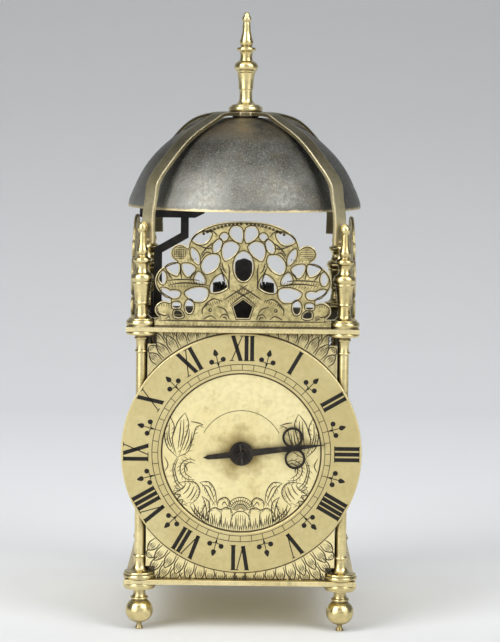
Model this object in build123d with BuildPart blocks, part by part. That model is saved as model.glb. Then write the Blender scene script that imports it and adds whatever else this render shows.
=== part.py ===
"""A lantern clock: posted brass frame, bell on crossed straps, pierced frets, verge escapement with a
short bob pendulum, striking train with countwheel, one hand.

Millimetres, +Z up, front towards -Y. The origin is on the floor under the middle of the whole clock.
The frame's own upright axis stands a little in front of it, because the hoop and spurs reach back.
"""
from build123d import *
from math import cos, hypot, radians, sin
import os

# Frame
pillar_pitch = 128.0        # between pillar centres, across and deep
plate_side = 147.0
plate_thick = 3.0
plate_moulding = 0.9        # rounding of the plates' long edges
foot_height = 30.2
frame_gap = 157.7           # clear height between the plates
finial_height = 66.1
stud_radius = 2.5           # threaded ends that join foot, pillar and finial
stud_reach = 6.5            # how far a stud goes into its neighbour
base_radius = 10.1          # turned drums above and below each plate
shaft_radius = 3.4
ring_radius = 4.2
press_gap = 0.05            # radial gap of parts that are screwed or pinned together
slip_gap = 0.3              # gap of parts that only lie beside each other

# Bell and its cage
bell_radius = 76.4
bell_height = 58.8
bell_wall = 2.2
bell_rim_height = 267.0
bell_fullness = 0.383       # exponent of the bell's curve: smaller is squarer
bell_shoulder = 1.1
washer_thick = 0.8
crown_radius = 10.6
crown_thick = 2.8
strap_width = 9.5
strap_thick = 2.4
strap_foot_height = 246.0
strap_spread = 85.0         # strap's distance from the axis at its foot
strap_peg_radius = 1.2
strap_peg_rise = 2.5        # above the strap's foot
nut_width = 9.0
nut_thick = 4.2

# Dial
dial_width = 119.8
dial_thick = 1.8
dial_face = 68.0            # front of the dial plate, forward of the axis
dial_centre_height = 114.2
ring_outer_radius = 76.25
ring_inner_radius = 51.0
ring_thick = 1.6
ring_foot_circle = 62.0
ring_foot_radius = 1.6
tenon_width = 10.0
tenon_offset = 35.0

# Hand
hand_bearing = 83.25        # degrees clockwise from twelve, as it stands at rest
hand_reach = 53.8
hand_tail = 24.3
hand_thick = 1.5
hand_gap = 0.8              # in front of the chapter ring
hand_boss_radius = 7.6
hand_loop_radius = 6.6
hand_loop_wall = 1.5
hand_loop_spread = 6.8
hand_loop_place = 33.4
hand_arbor_radius = 2.5
hand_square = 3.5
hand_pin_radius = 0.7

# Frets
fret_width = 111.0
fret_height = 67.3
fret_thick = 1.6
fret_inset = 2.0            # from the plate's edge
fret_rail = 6.0             # strip along the base
fret_tab_width = 8.0
fret_tab_reach = 7.0
fret_tab_offset = 20.0
screw_radius = 1.2
screw_head_radius = 2.6
screw_head = 1.5

# Movement bars, which stand between the plates on the middle line
bar_width = 14.0
bar_thick = 3.0
bar_spacing = 44.5
bar_tenon = 7.0
bar_arm_height = 8.0
pivot_radius = 0.9
pivot_gap = 0.05
end_shake = 0.3
arbor_radius = 1.4
fine_arbor_radius = 1.1

# Tooth form: height and depth in modules, widths as a share of the pitch
wheel_teeth_form = (0.9, 1.2, 0.62, 0.22)
pinion_teeth_form = (0.7, 1.2, 0.40, 0.16)
wheel_thick = 2.0
pinion_width = 4.0
pinion_leaves = 6

# Going train
going_height = 75.0
going_module = 0.8
going_teeth = 72
going_depth = -35.0         # middle of the great wheel, behind the axis if positive
hour_teeth = 72
hour_depth = -51.0
hour_lift_pins = 12
contrate_teeth = 72
contrate_radius = 24.0      # middle of its upright teeth
contrate_face = -17.4       # tips of its teeth
contrate_tooth = 1.6
contrate_band = 2.2         # radial width of the teeth
crown_teeth = 33
crown_radius_wheel = 20.0
crown_height = 206.0
crown_band = 9.0
crown_tooth = 3.0
crown_wall = 1.5

# Verge and pendulum
verge_height = 222.0
verge_radius = 1.2
pallet_length = 4.4
pallet_width = 5.0
pallet_thick = 0.8
pallet_spread = 47.0        # each side of straight down
pendulum_length = 130.0
pendulum_depth = 77.0
rod_radius = 1.0
bob_radius = 8.5
bob_height = 24.0
front_cock_depth = -42.5
front_cock_width = 11.0
back_cock_depth = 66.0
back_cock_width = 26.0
cock_thick = 2.5

# Striking train
strike_height = 68.0
strike_module = 0.75
strike_teeth = 78
strike_depth = 9.0
strike_pins = 13
strike_pin_circle = 21.5
strike_pin_radius = 1.1
locking_module = 0.65
locking_teeth = 60
locking_depth = 29.0
warning_module = 0.6
warning_teeth = 48
warning_depth = 36.5
fly_radius = 12.8
fly_length = 19.0
fly_thick = 0.8
count_module = 0.8
count_teeth = 48
count_leaves = 8
count_depth = 48.4
count_pinion_width = 2.4
count_disc_thick = 1.4
count_disc_gap = 0.8
count_rim_radius = 27.0
count_slot = 3.0
blows = 78                  # blows struck in twelve hours

# Rope pulleys
pulley_radius = 17.0
pulley_groove = 12.5
pulley_width = 12.0
pulley_cheek = 1.6
pulley_spikes = 8
going_pulley_depth = -27.0
strike_pulley_depth = 19.0
rope_hole_radius = 5.0

# Hammer
hammer_arbor_x = -46.0
hammer_arbor_height = 84.0
hammer_depth = 10.0
hammer_stem = 5.2
hammer_stem_x = -57.0
hammer_neck_x = -39.5
hammer_bend_height = 237.0
hammer_head_height = 265.0
hammer_head = 12.0          # high and deep
hammer_bell_gap = 1.6
hammer_bar_end = 13.0       # the head's bar, past the neck
hammer_tail = 18.0

# Lifting lever
lever_x = 44.0
lever_height = 112.0
lever_thick = 2.0
lever_bar = 4.0

# Doors
door_width = 105.0
door_thick = 1.2
door_gap = 0.5              # above and below
door_face_x = 64.6
door_hinge_depth = 50.0
hinge_pin_radius = 1.2
knob_radius = 3.4
knob_reach = 7.0

# Back
back_face = 66.2
back_thick = 1.2
hoop_reach = 93.0
hoop_inner = 17.0
hoop_bar = 4.0
hoop_thick = 3.5
hoop_screw_radius = 1.5
hoop_screw_depth = 57.0      # behind the axis
hoop_leg_front = 52.0
spur_radius = 1.5
spur_drop = 2.0            # below the bottom plate
back_width = 118.8

# Heights and places that follow
plate_low_top = foot_height + plate_thick
plate_top_under = plate_low_top + frame_gap
plate_top_top = plate_top_under + plate_thick
pillar_out = pillar_pitch / 2
bar_radius = bar_thick / 2
bell_inner_radius = bell_radius - bell_wall
crown_under = bell_rim_height + bell_height + washer_thick
crown_top = crown_under + crown_thick
ring_front = dial_face + ring_thick
hand_back = ring_front + hand_gap
front_reach = hand_back + hand_thick + 5.0
axis_y = (front_reach - hoop_reach) / 2


def level(height):
    """A level plane at this height, centred on the frame's upright axis."""
    return Plane((0, axis_y, height))


def across(x, height, depth):
    """An upright plane that faces the front: local x to the right, local y up."""
    return Plane(origin=(x, depth + axis_y, height), x_dir=(1, 0, 0), z_dir=(0, -1, 0))


def beside(x, height=0.0, depth=0.0):
    """An upright plane that faces right: local x to the back, local y up."""
    return Plane(origin=(x, depth + axis_y, height), x_dir=(0, 1, 0), z_dir=(1, 0, 0))


def outline_up(bottom, members):
    """The half outline of a turned piece from its bottom up. Each member is its rise, the radius that
    it ends at, and its bow: swelling out where positive, hollow where negative."""
    radius, height = 0.0, bottom
    for rise, reach, bow in members:
        start, end = Vector(radius, height), Vector(reach, height + rise)
        run = end - start
        if bow == 0:
            Line(start, end)
        else:
            outward = Vector(run.Y, -run.X).normalized()
            ThreePointArc(start, (start + end) * 0.5 + outward * bow, end)
        radius, height = reach, height + rise
    if radius > 0:
        Line((radius, height), (0, height))
    Line((0, height), (0, bottom))


def turned(x, depth, bottom, members):
    """A turned piece about the upright line at (x, depth)."""
    with BuildSketch(across(x, 0, depth)) as profile:
        with BuildLine():
            outline_up(bottom, members)
        make_face()
    revolve(profile.sketch, axis=Axis((x, depth + axis_y, 0), (0, 0, 1)))


def stepped_bar(x, height, *steps):
    """A round bar from back to front at (x, height). Each step is its rear end, front end and radius."""
    for rear, front, radius in steps:
        with BuildSketch(across(x, height, rear)) as section:
            Circle(radius)
        extrude(section.sketch, amount=rear - front)


def stepped_post(x, depth, *steps):
    """An upright round bar at (x, depth). Each step is its bottom, top and radius."""
    for bottom, top, radius in steps:
        with BuildSketch(level(bottom)) as section:
            with Locations((x, depth)):
                Circle(radius)
        extrude(section.sketch, amount=top - bottom)


def save(piece, name):
    piece.part.label = name
    export_step(piece.part, f"parts/{name}.step")


def polar(radius, degrees_round):
    return (radius * cos(radians(degrees_round)), radius * sin(radians(degrees_round)))


def toothed_outline(teeth, module, form, first):
    """A wheel's toothed outline. form is tooth height, depth, root and tip width; first is the
    direction of one tooth, in degrees."""
    height, depth, root_share, tip_share = form
    pitch = 360 / teeth
    root = module * (teeth / 2 - depth)
    tip = module * (teeth / 2 + height)
    corners = []
    for tooth in range(teeth):
        middle = first + tooth * pitch
        for radius, share in ((root, -root_share), (tip, -tip_share), (tip, tip_share), (root, root_share)):
            corners.append(polar(radius, middle + share * pitch / 2))
    Polygon(*corners, align=None)


def crossings(inner_radius, hub_radius, arm):
    """Cuts a wheel out to its rim, and leaves a hub on four arms."""
    Circle(inner_radius, mode=Mode.SUBTRACT)
    Rectangle(2 * inner_radius + 0.4, arm)
    Rectangle(arm, 2 * inner_radius + 0.4)
    Circle(hub_radius)


def wheel_disc(x, height, depth, teeth, module, first, rim):
    """A crossed-out toothed wheel, wheel_thick wide, centred at this depth."""
    with BuildSketch(across(x, height, depth + wheel_thick / 2)) as face:
        toothed_outline(teeth, module, wheel_teeth_form, first)
        crossings(module * (teeth / 2 - wheel_teeth_form[1]) - rim, 5.5, 3.4)
    extrude(face.sketch, amount=wheel_thick)


def pinion(x, height, depth, leaves, module, first, width=pinion_width):
    with BuildSketch(across(x, height, depth + width / 2)) as face:
        toothed_outline(leaves, module, pinion_teeth_form, first)
    extrude(face.sketch, amount=width)


def gap_first(leaves, towards):
    """The direction of the first tooth for a gap to lie towards this direction."""
    return towards + 180 / leaves


front_bar = (-bar_spacing - bar_radius, -bar_spacing + bar_radius)
middle_bar = (-bar_radius, bar_radius)
rear_bar = (bar_spacing - bar_radius, bar_spacing + bar_radius)

# Heights of the arbors, from the wheels that mesh
contrate_height = going_height + going_module * (going_teeth + pinion_leaves) / 2
report_module = 2 * (dial_centre_height - going_height) / (hour_teeth + pinion_leaves)
locking_height = strike_height + strike_module * (strike_teeth + pinion_leaves) / 2
warning_height = locking_height + locking_module * (locking_teeth + pinion_leaves) / 2
fly_height = warning_height + warning_module * (warning_teeth + pinion_leaves) / 2
count_height = strike_height + count_module * (count_teeth + count_leaves) / 2
crown_module = 2 * contrate_radius / contrate_teeth
crown_depth = contrate_face + contrate_tooth * 0.3 - crown_module * pinion_leaves / 2
potence_height = contrate_height + 8.5
cock_screw_places = ((0, front_cock_depth + 7), (-9, back_cock_depth - 5), (9, back_cock_depth - 5))

os.makedirs("parts", exist_ok=True)

corners = {
    "front_left": (-pillar_out, -pillar_out),
    "front_right": (pillar_out, -pillar_out),
    "rear_left": (-pillar_out, pillar_out),
    "rear_right": (pillar_out, pillar_out),
}

# ---------------------------------------------------------------- posts: feet, pillars, finials
foot_members = (
    (0, 2.5, 0),            # the small nib that it stands on
    (1.0, 2.4, 0.1),
    (3.2, 1.9, -0.5),
    (14.8, 4.4, 5.6),       # the ball
    (0.4, 4.9, 0),
    (1.6, 4.7, 0.9),        # ring
    (5.0, 4.0, -0.5),       # hollow neck
    (0.4, 9.0, -0.1),
    (1.0, 9.6, 0.4),        # ledge
    (0, base_radius, 0),
)
pillar_base_members = (
    (0, base_radius, 0),
    (2.4, base_radius, 0.4),
    (0, 9.1, 0),
    (1.9, 8.9, 0.9),        # torus of the base
    (3.4, 4.2, -1.0),
    (5.2, 3.8, -0.2),
    (2.0, 3.8, ring_radius - 3.5),
)
pillar_cap_members = (
    (2.0, shaft_radius, ring_radius - 3.4),
    (6.2, 3.7, -0.2),
    (2.0, 3.9, 0.8),
    (1.4, 8.4, -0.5),
    (0, 9.6, 0),
    (2.2, 9.6, 0.3),
)
finial_members = (
    (0, 9.4, 0),
    (3.1, 9.4, 0.5),        # flange
    (0, 8.1, 0),
    (1.4, 7.9, 0.4),
    (3.9, 4.3, -1.2),       # flare
    (5.0, 4.1, -0.2),       # waist
    (1.3, 4.5, 0.5),
    (10.8, 5.7, -0.25),     # cup
    (1.9, 6.0, 0.3),
    (5.7, 4.9, 1.7),        # torus
    (1.0, 4.3, -0.1),
    (5.2, 4.3, -0.6),       # neck
    (0.7, 5.5, 0),
    (2.4, 5.5, 0.35),       # collar
    (1.8, 3.0, -0.3),
    (4.4, 3.4, 0.6),        # vase
    (8.6, 2.3, -0.35),
    (1.4, 2.1, 0),
    (6.2, 1.4, 1.5),        # ball
    (0.6, 0.5, 0.1),        # tip
)


def fixed_rise(members):
    return sum(rise for rise, reach, bow in members)


foot_block = foot_height - fixed_rise(foot_members)
shaft_length = frame_gap - fixed_rise(pillar_base_members) - fixed_rise(pillar_cap_members)
finial_stretch = finial_height - fixed_rise(finial_members)

for corner, (x, y) in corners.items():
    with BuildPart() as foot:
        turned(x, y, 0, foot_members + ((foot_block, base_radius, 0.3),))
        with BuildSketch(level(foot_height)):
            with Locations((x, y)):
                Circle(stud_radius + press_gap)
        extrude(amount=-stud_reach - press_gap, mode=Mode.SUBTRACT)
        if y > 0:
            with BuildSketch(across(x, foot_height - spur_drop, y + base_radius + 1)):
                Circle(spur_radius + press_gap)
            extrude(amount=base_radius + 1 - stud_radius - 1.6, mode=Mode.SUBTRACT)
    save(foot, f"foot_{corner}")

    with BuildPart() as pillar:
        shaft = ((0, shaft_radius, 0), (shaft_length, shaft_radius, 0))
        turned(x, y, plate_low_top, pillar_base_members + shaft + pillar_cap_members)
        stepped_post(
            x, y,
            (foot_height - stud_reach, plate_low_top + 1, stud_radius),
            (plate_top_under - 1, plate_top_top + stud_reach, stud_radius),
        )
    save(pillar, f"pillar_{corner}")

    with BuildPart() as finial:
        stretch = ((finial_stretch, 9.4, 0),) if finial_stretch > 0.01 else ()
        turned(x, y, plate_top_top, finial_members[:1] + stretch + finial_members[1:])
        with BuildSketch(level(plate_top_top)):
            with Locations((x, y)):
                Circle(stud_radius + press_gap)
        extrude(amount=stud_reach + press_gap, mode=Mode.SUBTRACT)
        # hole in the inner side of the neck for the strap's peg
        peg_plane = Plane(origin=(x, y + axis_y, strap_foot_height + strap_peg_rise), x_dir=(0, 0, 1),
                          z_dir=(-x, -y, 0))
        with BuildSketch(peg_plane.offset(0.6)):
            Circle(strap_peg_radius + press_gap)
        extrude(amount=8, mode=Mode.SUBTRACT)
    save(finial, f"finial_{corner}")

# ---------------------------------------------------------------- plates


def plate_blank(bottom):
    with BuildSketch(level(bottom)) as blank:
        Rectangle(plate_side, plate_side)
    extrude(blank.sketch, amount=plate_thick)


def plate_holes(bottom):
    """Holes that both plates have: studs, bar tenons, dial tenons, back plate tenons, door pins."""
    with BuildSketch(level(bottom)) as holes:
        with GridLocations(pillar_pitch, pillar_pitch, 2, 2):
            Circle(stud_radius + press_gap)
        with GridLocations(1, bar_spacing, 1, 3):
            Rectangle(bar_tenon + 2 * press_gap, bar_thick + 2 * press_gap)
        with Locations((0, -dial_face + dial_thick / 2), (0, back_face - back_thick / 2)):
            with GridLocations(2 * tenon_offset, 1, 2, 1):
                Rectangle(tenon_width + 2 * press_gap, dial_thick + 2 * press_gap)
        with Locations((0, door_hinge_depth)):
            with GridLocations(2 * door_face_x - door_thick, 1, 2, 1):
                Circle(hinge_pin_radius + pivot_gap)
    extrude(holes.sketch, amount=plate_thick, mode=Mode.SUBTRACT)


with BuildPart() as bottom_plate:
    plate_blank(foot_height)
    fillet(bottom_plate.edges().group_by(Axis.Z)[-1], radius=plate_moulding)
    plate_holes(foot_height)
    with BuildSketch(level(foot_height)):
        with Locations((0, going_pulley_depth), (0, strike_pulley_depth)):
            with GridLocations(2 * pulley_groove + 4, 1, 2, 1):
                Circle(rope_hole_radius)
    extrude(amount=plate_thick, mode=Mode.SUBTRACT)
save(bottom_plate, "bottom_plate")

hammer_slot_width = 27.0
hammer_slot_depth = 9.0
hammer_slot_middle = -47.5
with BuildPart() as top_plate:
    plate_blank(plate_top_under)
    fillet(top_plate.edges().group_by(Axis.Z)[0], radius=plate_moulding)
    plate_holes(plate_top_under)
    with BuildSketch(level(plate_top_under)):
        with Locations((hammer_slot_middle, hammer_depth)):
            SlotOverall(hammer_slot_width, hammer_slot_depth)
        with Locations((0, crown_depth)):
            Circle(arbor_radius + pivot_gap)
        with Locations(*cock_screw_places):
            Circle(screw_radius + press_gap)
        with GridLocations(2 * (hoop_inner + hoop_bar / 2), 1, 2, 1):
            with Locations((0, hoop_screw_depth)):
                Circle(hoop_screw_radius + press_gap)
    extrude(amount=plate_thick, mode=Mode.SUBTRACT)
    fret_edge = plate_side / 2 - fret_inset - fret_thick - fret_tab_reach / 2
    with BuildSketch(level(plate_top_under)):
        for side in (-90, 180, 0):
            with PolarLocations(fret_edge, 1, side):
                with Locations((0, fret_tab_offset), (0, -fret_tab_offset)):
                    Circle(screw_radius + press_gap)
    extrude(amount=plate_thick, mode=Mode.SUBTRACT)
save(top_plate, "top_plate")

# ---------------------------------------------------------------- bell, straps, top finial


def bell_curve(radius, height, steps=6):
    """Points of the bell's curve from its lip to its crown, above the rim."""
    shares = [step / steps for step in range(steps)]
    points = []
    for share in shares:
        rise = height * (1 - (1 - share) ** 1.6)
        points.append((radius * (1 - (rise / height) ** bell_shoulder) ** bell_fullness, rise))
    return points + [(0, height)]


bell_hole = stud_radius + 0.4
with BuildPart() as bell:
    with BuildSketch(across(0, bell_rim_height, 0)):
        with BuildLine():
            Spline(*bell_curve(bell_radius, bell_height), tangents=[(0, 1), (-1, 0)])
            Line((0, bell_height), (0, bell_height - bell_wall))
            Spline(*bell_curve(bell_inner_radius, bell_height - bell_wall), tangents=[(0, 1), (-1, 0)])
            Line((bell_inner_radius, 0), (bell_radius, 0))
        make_face()
    revolve(axis=Axis((0, axis_y, 0), (0, 0, 1)))
    with BuildSketch(level(bell_rim_height + bell_height / 2)):
        Circle(bell_hole)
    extrude(amount=bell_height, mode=Mode.SUBTRACT)
save(bell, "bell")

with BuildPart() as bell_washer:
    with BuildSketch(level(bell_rim_height + bell_height)):
        Circle(crown_radius - 2)
        Circle(stud_radius + press_gap, mode=Mode.SUBTRACT)
    extrude(amount=washer_thick)
save(bell_washer, "bell_washer")

with BuildPart() as bell_nut:
    nut_top = bell_rim_height + bell_height - bell_wall - 0.4
    with BuildSketch(level(nut_top - nut_thick)):
        RectangleRounded(nut_width, nut_width, 1)
        Circle(stud_radius + press_gap, mode=Mode.SUBTRACT)
    extrude(amount=nut_thick)
save(bell_nut, "bell_nut")

# Courses of the straps from foot to crown, as shares of the bell's radius and of its height over the rim.
# The rear pair is bent a little fuller than the front pair.
front_course = ((1.118, -0.12), (1.071, 0.187), (0.864, 0.527), (0.615, 0.81), (0.377, 0.985))
rear_course = ((1.118, -0.12), (1.087, 0.187), (0.955, 0.527), (0.766, 0.77), (0.55, 0.965), (0.327, 1.03))
strap_middle = crown_top - strap_thick / 2
with BuildPart() as bell_straps:
    with BuildSketch(level(crown_under)):
        Circle(crown_radius)
    extrude(amount=crown_thick)
    for turn, course in ((45, rear_course), (135, rear_course), (225, front_course), (315, front_course)):
        spoke = Plane(origin=(0, axis_y, 0), x_dir=(cos(radians(turn)), sin(radians(turn)), 0),
                      z_dir=(sin(radians(turn)), -cos(radians(turn)), 0))
        with BuildSketch(spoke):
            with BuildLine():
                Spline(
                    (strap_spread, strap_foot_height),
                    *[(bell_radius * out, bell_rim_height + bell_height * up) for out, up in course],
                    (crown_radius - 3, strap_middle),
                    tangents=[(0, 1), (-1, 0)],
                )
            trace(line_width=strap_thick)
        extrude(amount=strap_width / 2, both=True)
        peg_start = Vector(strap_spread, strap_foot_height + strap_peg_rise, 0)
        foot_end = Plane(origin=spoke.from_local_coords(peg_start), x_dir=(0, 0, 1), z_dir=spoke.x_dir)
        with BuildSketch(foot_end):
            Circle(strap_peg_radius)
        extrude(amount=hypot(pillar_out, pillar_out) - strap_spread - 0.9)
    with BuildSketch(level(crown_under - 1)):
        Circle(stud_radius + press_gap)
    extrude(amount=crown_thick + 2, mode=Mode.SUBTRACT)
save(bell_straps, "bell_straps")

top_finial_members = (
    (0, crown_radius, 0),
    (3.5, crown_radius, 0.6),
    (0, 9.2, 0),
    (1.2, 9.0, 0.3),
    (4.8, 4.3, -1.6),
    (5.3, 4.4, -0.2),
    (0, 4.8, 0),
    (10.8, 5.9, -0.3),
    (1.2, 6.5, 0.2),
    (6.1, 5.4, 1.8),
    (0.6, 4.4, -0.1),
    (5.8, 4.4, -0.5),
    (0.7, 6.0, 0),
    (2.0, 6.0, 0.3),
    (0.8, 3.4, -0.2),
    (5.0, 3.9, 0.75),
    (9.4, 2.5, -0.35),
    (1.6, 2.3, 0),
    (4.0, 2.2, 0.85),
    (2.4, 0.6, 0.4),
)
with BuildPart() as top_finial:
    turned(0, 0, crown_top, top_finial_members)
    stepped_post(0, 0, (nut_top - nut_thick - 2.0, crown_top + 1, stud_radius))
save(top_finial, "top_finial")

# ---------------------------------------------------------------- frets


def bowed(*corners, bow=0.12):
    """A face inside a closed run of arcs. Each arc swells out by this share of its length, and the
    corners run clockwise."""
    with BuildSketch(mode=Mode.PRIVATE) as face:
        with BuildLine():
            for start, end in zip(corners, corners[1:] + corners[:1]):
                run = Vector(*end) - Vector(*start)
                middle = Vector(*start) + run * 0.5 + Vector(-run.Y, run.X) * bow
                ThreePointArc(start, middle, end)
        make_face()
    return face.sketch


def leaf(tip, root, width):
    """A pointed leaf between two arcs."""
    return bowed(tip, root, bow=width / 2 / hypot(root[0] - tip[0], root[1] - tip[1]))


# Rounds of the outline, on both sides: place, half width, half height
fret_rounds = (
    ((49.5, 11.2), 6.0, 5.4),       # lobe at the end of the rail
    ((38.0, 29.3), 17.5, 12.6),     # loop
    ((40.0, 47.0), 6.0, 5.6),       # knob
)
arch_side = ((46, 4), (46, 20), (34.8, 46))
arch_top = ((34.8, 46), (33, 56.4), (24, 63.4), (0, fret_height), (-24, 63.4), (-33, 56.4), (-34.8, 46))
eye_height, eye_half_width, eye_half_height = 38.9, 5.8, 9.2
pentagon_height, pentagon_radius = 11.6, 6.5


def fret_holes():
    """The holes of the right half, from the top down. The left half mirrors them."""
    return (
        # under the crest
        bowed((1.9, 62.8), (6.6, 63.8), (8.6, 59.5), (1.9, 54.2)),
        bowed((10.0, 58.2), (12.6, 59.6), (14.6, 57.2), (12.2, 55.6)),
        bowed((3.2, 51.2), (7.6, 54.2), (12.6, 52), (11.4, 43)),
        # between the dolphin's tail leaves
        leaf((14.8, 55.6), (18.4, 47.6), 4.2),
        bowed((20.6, 59.4), (25.4, 59.6), (32, 55.2), (25.2, 53.2)),
        leaf((32.6, 50), (28.2, 40.4), 3.8),
        bowed((16, 45.4), (22.6, 45), (26, 38.4), (23.4, 34.4), (16, 40)),
        # beside its body
        bowed((13.6, 33.6), (19.6, 28), (20, 22.6), (10.2, 25.8)),
        bowed((28.2, 35), (30.4, 29.6), (24.2, 28.4)),
        bowed((23.4, 24.6), (36.4, 22.2), (34.6, 19.6), (26.2, 16.8), (22.6, 20.8)),
        # in the loop
        bowed((30.6, 37.6), (35.6, 40), (38.4, 39.6), (34.8, 32.4)),
        bowed((40.8, 39.8), (48.4, 38), (42, 33.2)),
        bowed((50.6, 35.4), (53, 30.4), (50.4, 27.4), (49, 32)),
        bowed((40, 22.2), (46, 22.6), (51.8, 24.4), (50, 21.6), (46.4, 19.6), (41, 19.4)),
        # over the rail
        bowed((39.9, 15.3), (44, 15.3), (44, 12.7), (39.9, 12.7)),
        bowed((39.6, 10.3), (43, 10.5), (43, 6.9), (37.7, 7.1)),
    )


def fret_face():
    """The fret's outline with its holes cut through, from its middle line and its base up."""
    with BuildSketch(mode=Mode.PRIVATE) as face:
        with Locations((0, fret_rail / 2)):
            Rectangle(fret_width, fret_rail)
        for (x, y), half_width, half_height in fret_rounds:
            with Locations((-x, y), (x, y)):
                Ellipse(half_width, half_height)
        with BuildLine():
            Polyline(*arch_side)
            Spline(*arch_top)
            Polyline(*[(-x, y) for x, y in reversed(arch_side)], arch_side[0])
        make_face()
        for hole in fret_holes():
            add(hole, mode=Mode.SUBTRACT)
            add(mirror(hole, about=Plane.YZ, mode=Mode.PRIVATE), mode=Mode.SUBTRACT)
        with Locations((-33.8, 13.2), (33.8, 13.2)):
            Ellipse(2.4, 4.1, mode=Mode.SUBTRACT)
        with Locations((0, eye_height)):
            Ellipse(eye_half_width, eye_half_height, mode=Mode.SUBTRACT)
        with Locations((0, pentagon_height)):
            RegularPolygon(pentagon_radius, 5, rotation=90, mode=Mode.SUBTRACT)
    return face.sketch


fret_sheet = fret_face()


def build_fret(face_plane):
    """A fret on this plane, which lies at its front, and its two tabs on the top plate."""
    with BuildPart() as fret:
        with BuildSketch(face_plane):
            add(fret_sheet)
        extrude(amount=-fret_thick)
        with BuildSketch(face_plane.offset(-fret_thick)):
            with Locations((-fret_tab_offset, fret_thick / 2), (fret_tab_offset, fret_thick / 2)):
                Rectangle(fret_tab_width, fret_thick)
        extrude(amount=-fret_tab_reach)
        # screw holes in the tabs
        hole_plane = Plane(origin=face_plane.origin - face_plane.z_dir * (fret_thick + fret_tab_reach / 2),
                           x_dir=face_plane.x_dir, z_dir=(0, 0, 1))
        with BuildSketch(hole_plane):
            with GridLocations(2 * fret_tab_offset, 1, 2, 1):
                Circle(screw_radius + press_gap)
        extrude(amount=fret_thick, mode=Mode.SUBTRACT)
    return fret


fret_stand = plate_side / 2 - fret_inset
fret_planes = {
    "front": across(0, plate_top_top, -fret_stand),
    "left": Plane(origin=(-fret_stand, axis_y, plate_top_top), x_dir=(0, -1, 0), z_dir=(-1, 0, 0)),
    "right": Plane(origin=(fret_stand, axis_y, plate_top_top), x_dir=(0, 1, 0), z_dir=(1, 0, 0)),
}
for side, fret_plane in fret_planes.items():
    save(build_fret(fret_plane), f"fret_{side}")

with BuildPart() as plate_screws:
    for fret_plane in fret_planes.values():
        screw_line = fret_plane.origin - fret_plane.z_dir * (fret_thick + fret_tab_reach / 2)
        for height, length, radius in (
            (fret_thick + press_gap, screw_head, screw_head_radius),
            (-plate_thick + 0.4, plate_thick + fret_thick, screw_radius),
        ):
            with BuildSketch(Plane(origin=screw_line + Vector(0, 0, height), x_dir=fret_plane.x_dir)):
                with GridLocations(2 * fret_tab_offset, 1, 2, 1):
                    Circle(radius)
            extrude(amount=length)
    # the screws of the two verge cocks
    for bottom, length, radius in (
        (plate_top_top + cock_thick + press_gap, screw_head, screw_head_radius),
        (plate_top_under + 0.4, plate_thick + cock_thick, screw_radius),
    ):
        with BuildSketch(level(bottom)):
            with Locations(*cock_screw_places):
                Circle(radius)
        extrude(amount=length)
save(plate_screws, "plate_screws")

# ---------------------------------------------------------------- dial plate, chapter ring, hand


def sheet_between(face_depth, thick, width):
    """An upright sheet between the plates, with tenons into both and its corners cut round the posts."""
    with BuildSketch(across(0, plate_low_top + frame_gap / 2, face_depth + thick)) as sheet:
        Rectangle(width, frame_gap - 2 * door_gap)
        with GridLocations(2 * tenon_offset, 1, 2, 1):
            Rectangle(tenon_width, frame_gap + 2 * plate_thick - 0.6)
    extrude(sheet.sketch, amount=thick)
    drum_height = fixed_rise(pillar_base_members) - 7.0
    for bottom in (plate_low_top, plate_top_under - drum_height):
        with BuildSketch(level(bottom)) as drums:
            with GridLocations(pillar_pitch, pillar_pitch, 2, 2):
                Circle(base_radius + door_gap)
        extrude(drums.sketch, amount=drum_height, mode=Mode.SUBTRACT)


pipe_radius = 4.2
with BuildPart() as dial_plate:
    sheet_between(-dial_face, dial_thick, dial_width)
    with BuildSketch(across(0, dial_centre_height, -dial_face + dial_thick)):
        Circle(pipe_radius + slip_gap)
        with PolarLocations(ring_foot_circle, 4, 45):
            Circle(ring_foot_radius + press_gap)
    extrude(amount=dial_thick, mode=Mode.SUBTRACT)
save(dial_plate, "dial_plate")

foot_tail = 3.6
with BuildPart() as chapter_ring:
    with BuildSketch(across(0, dial_centre_height, -dial_face)):
        Circle(ring_outer_radius)
        Circle(ring_inner_radius, mode=Mode.SUBTRACT)
    extrude(amount=ring_thick)
    fillet(chapter_ring.edges().group_by(Axis.Y)[0], radius=0.4)
    with BuildSketch(across(0, dial_centre_height, -dial_face + dial_thick + foot_tail)):
        with PolarLocations(ring_foot_circle, 4, 45):
            Circle(ring_foot_radius)
    extrude(amount=dial_thick + foot_tail + 0.2)
    # cross holes for the taper pins
    with BuildSketch(beside(-ring_outer_radius, dial_centre_height, -dial_face + dial_thick + 1.2)):
        for lift in (-1, 1):
            with Locations((0, lift * ring_foot_circle * sin(radians(45)))):
                Circle(hand_pin_radius + press_gap)
    extrude(amount=2 * ring_outer_radius, mode=Mode.SUBTRACT)
save(chapter_ring, "chapter_ring")

with BuildPart() as ring_pins:
    pin_place = ring_foot_circle * sin(radians(45))
    with BuildSketch(beside(-pin_place - 5, dial_centre_height, -dial_face + dial_thick + 1.2)):
        with Locations((0, -pin_place), (0, pin_place)):
            Circle(hand_pin_radius)
    extrude(amount=10)
    with BuildSketch(beside(pin_place - 5, dial_centre_height, -dial_face + dial_thick + 1.2)):
        with Locations((0, -pin_place), (0, pin_place)):
            Circle(hand_pin_radius)
    extrude(amount=10)
save(ring_pins, "chapter_ring_pins")

hand_turn = radians(hand_bearing)
hand_plane = Plane(origin=(0, axis_y - hand_back, dial_centre_height),
                   x_dir=(cos(hand_turn), 0, -sin(hand_turn)), z_dir=(0, -1, 0))


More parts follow.
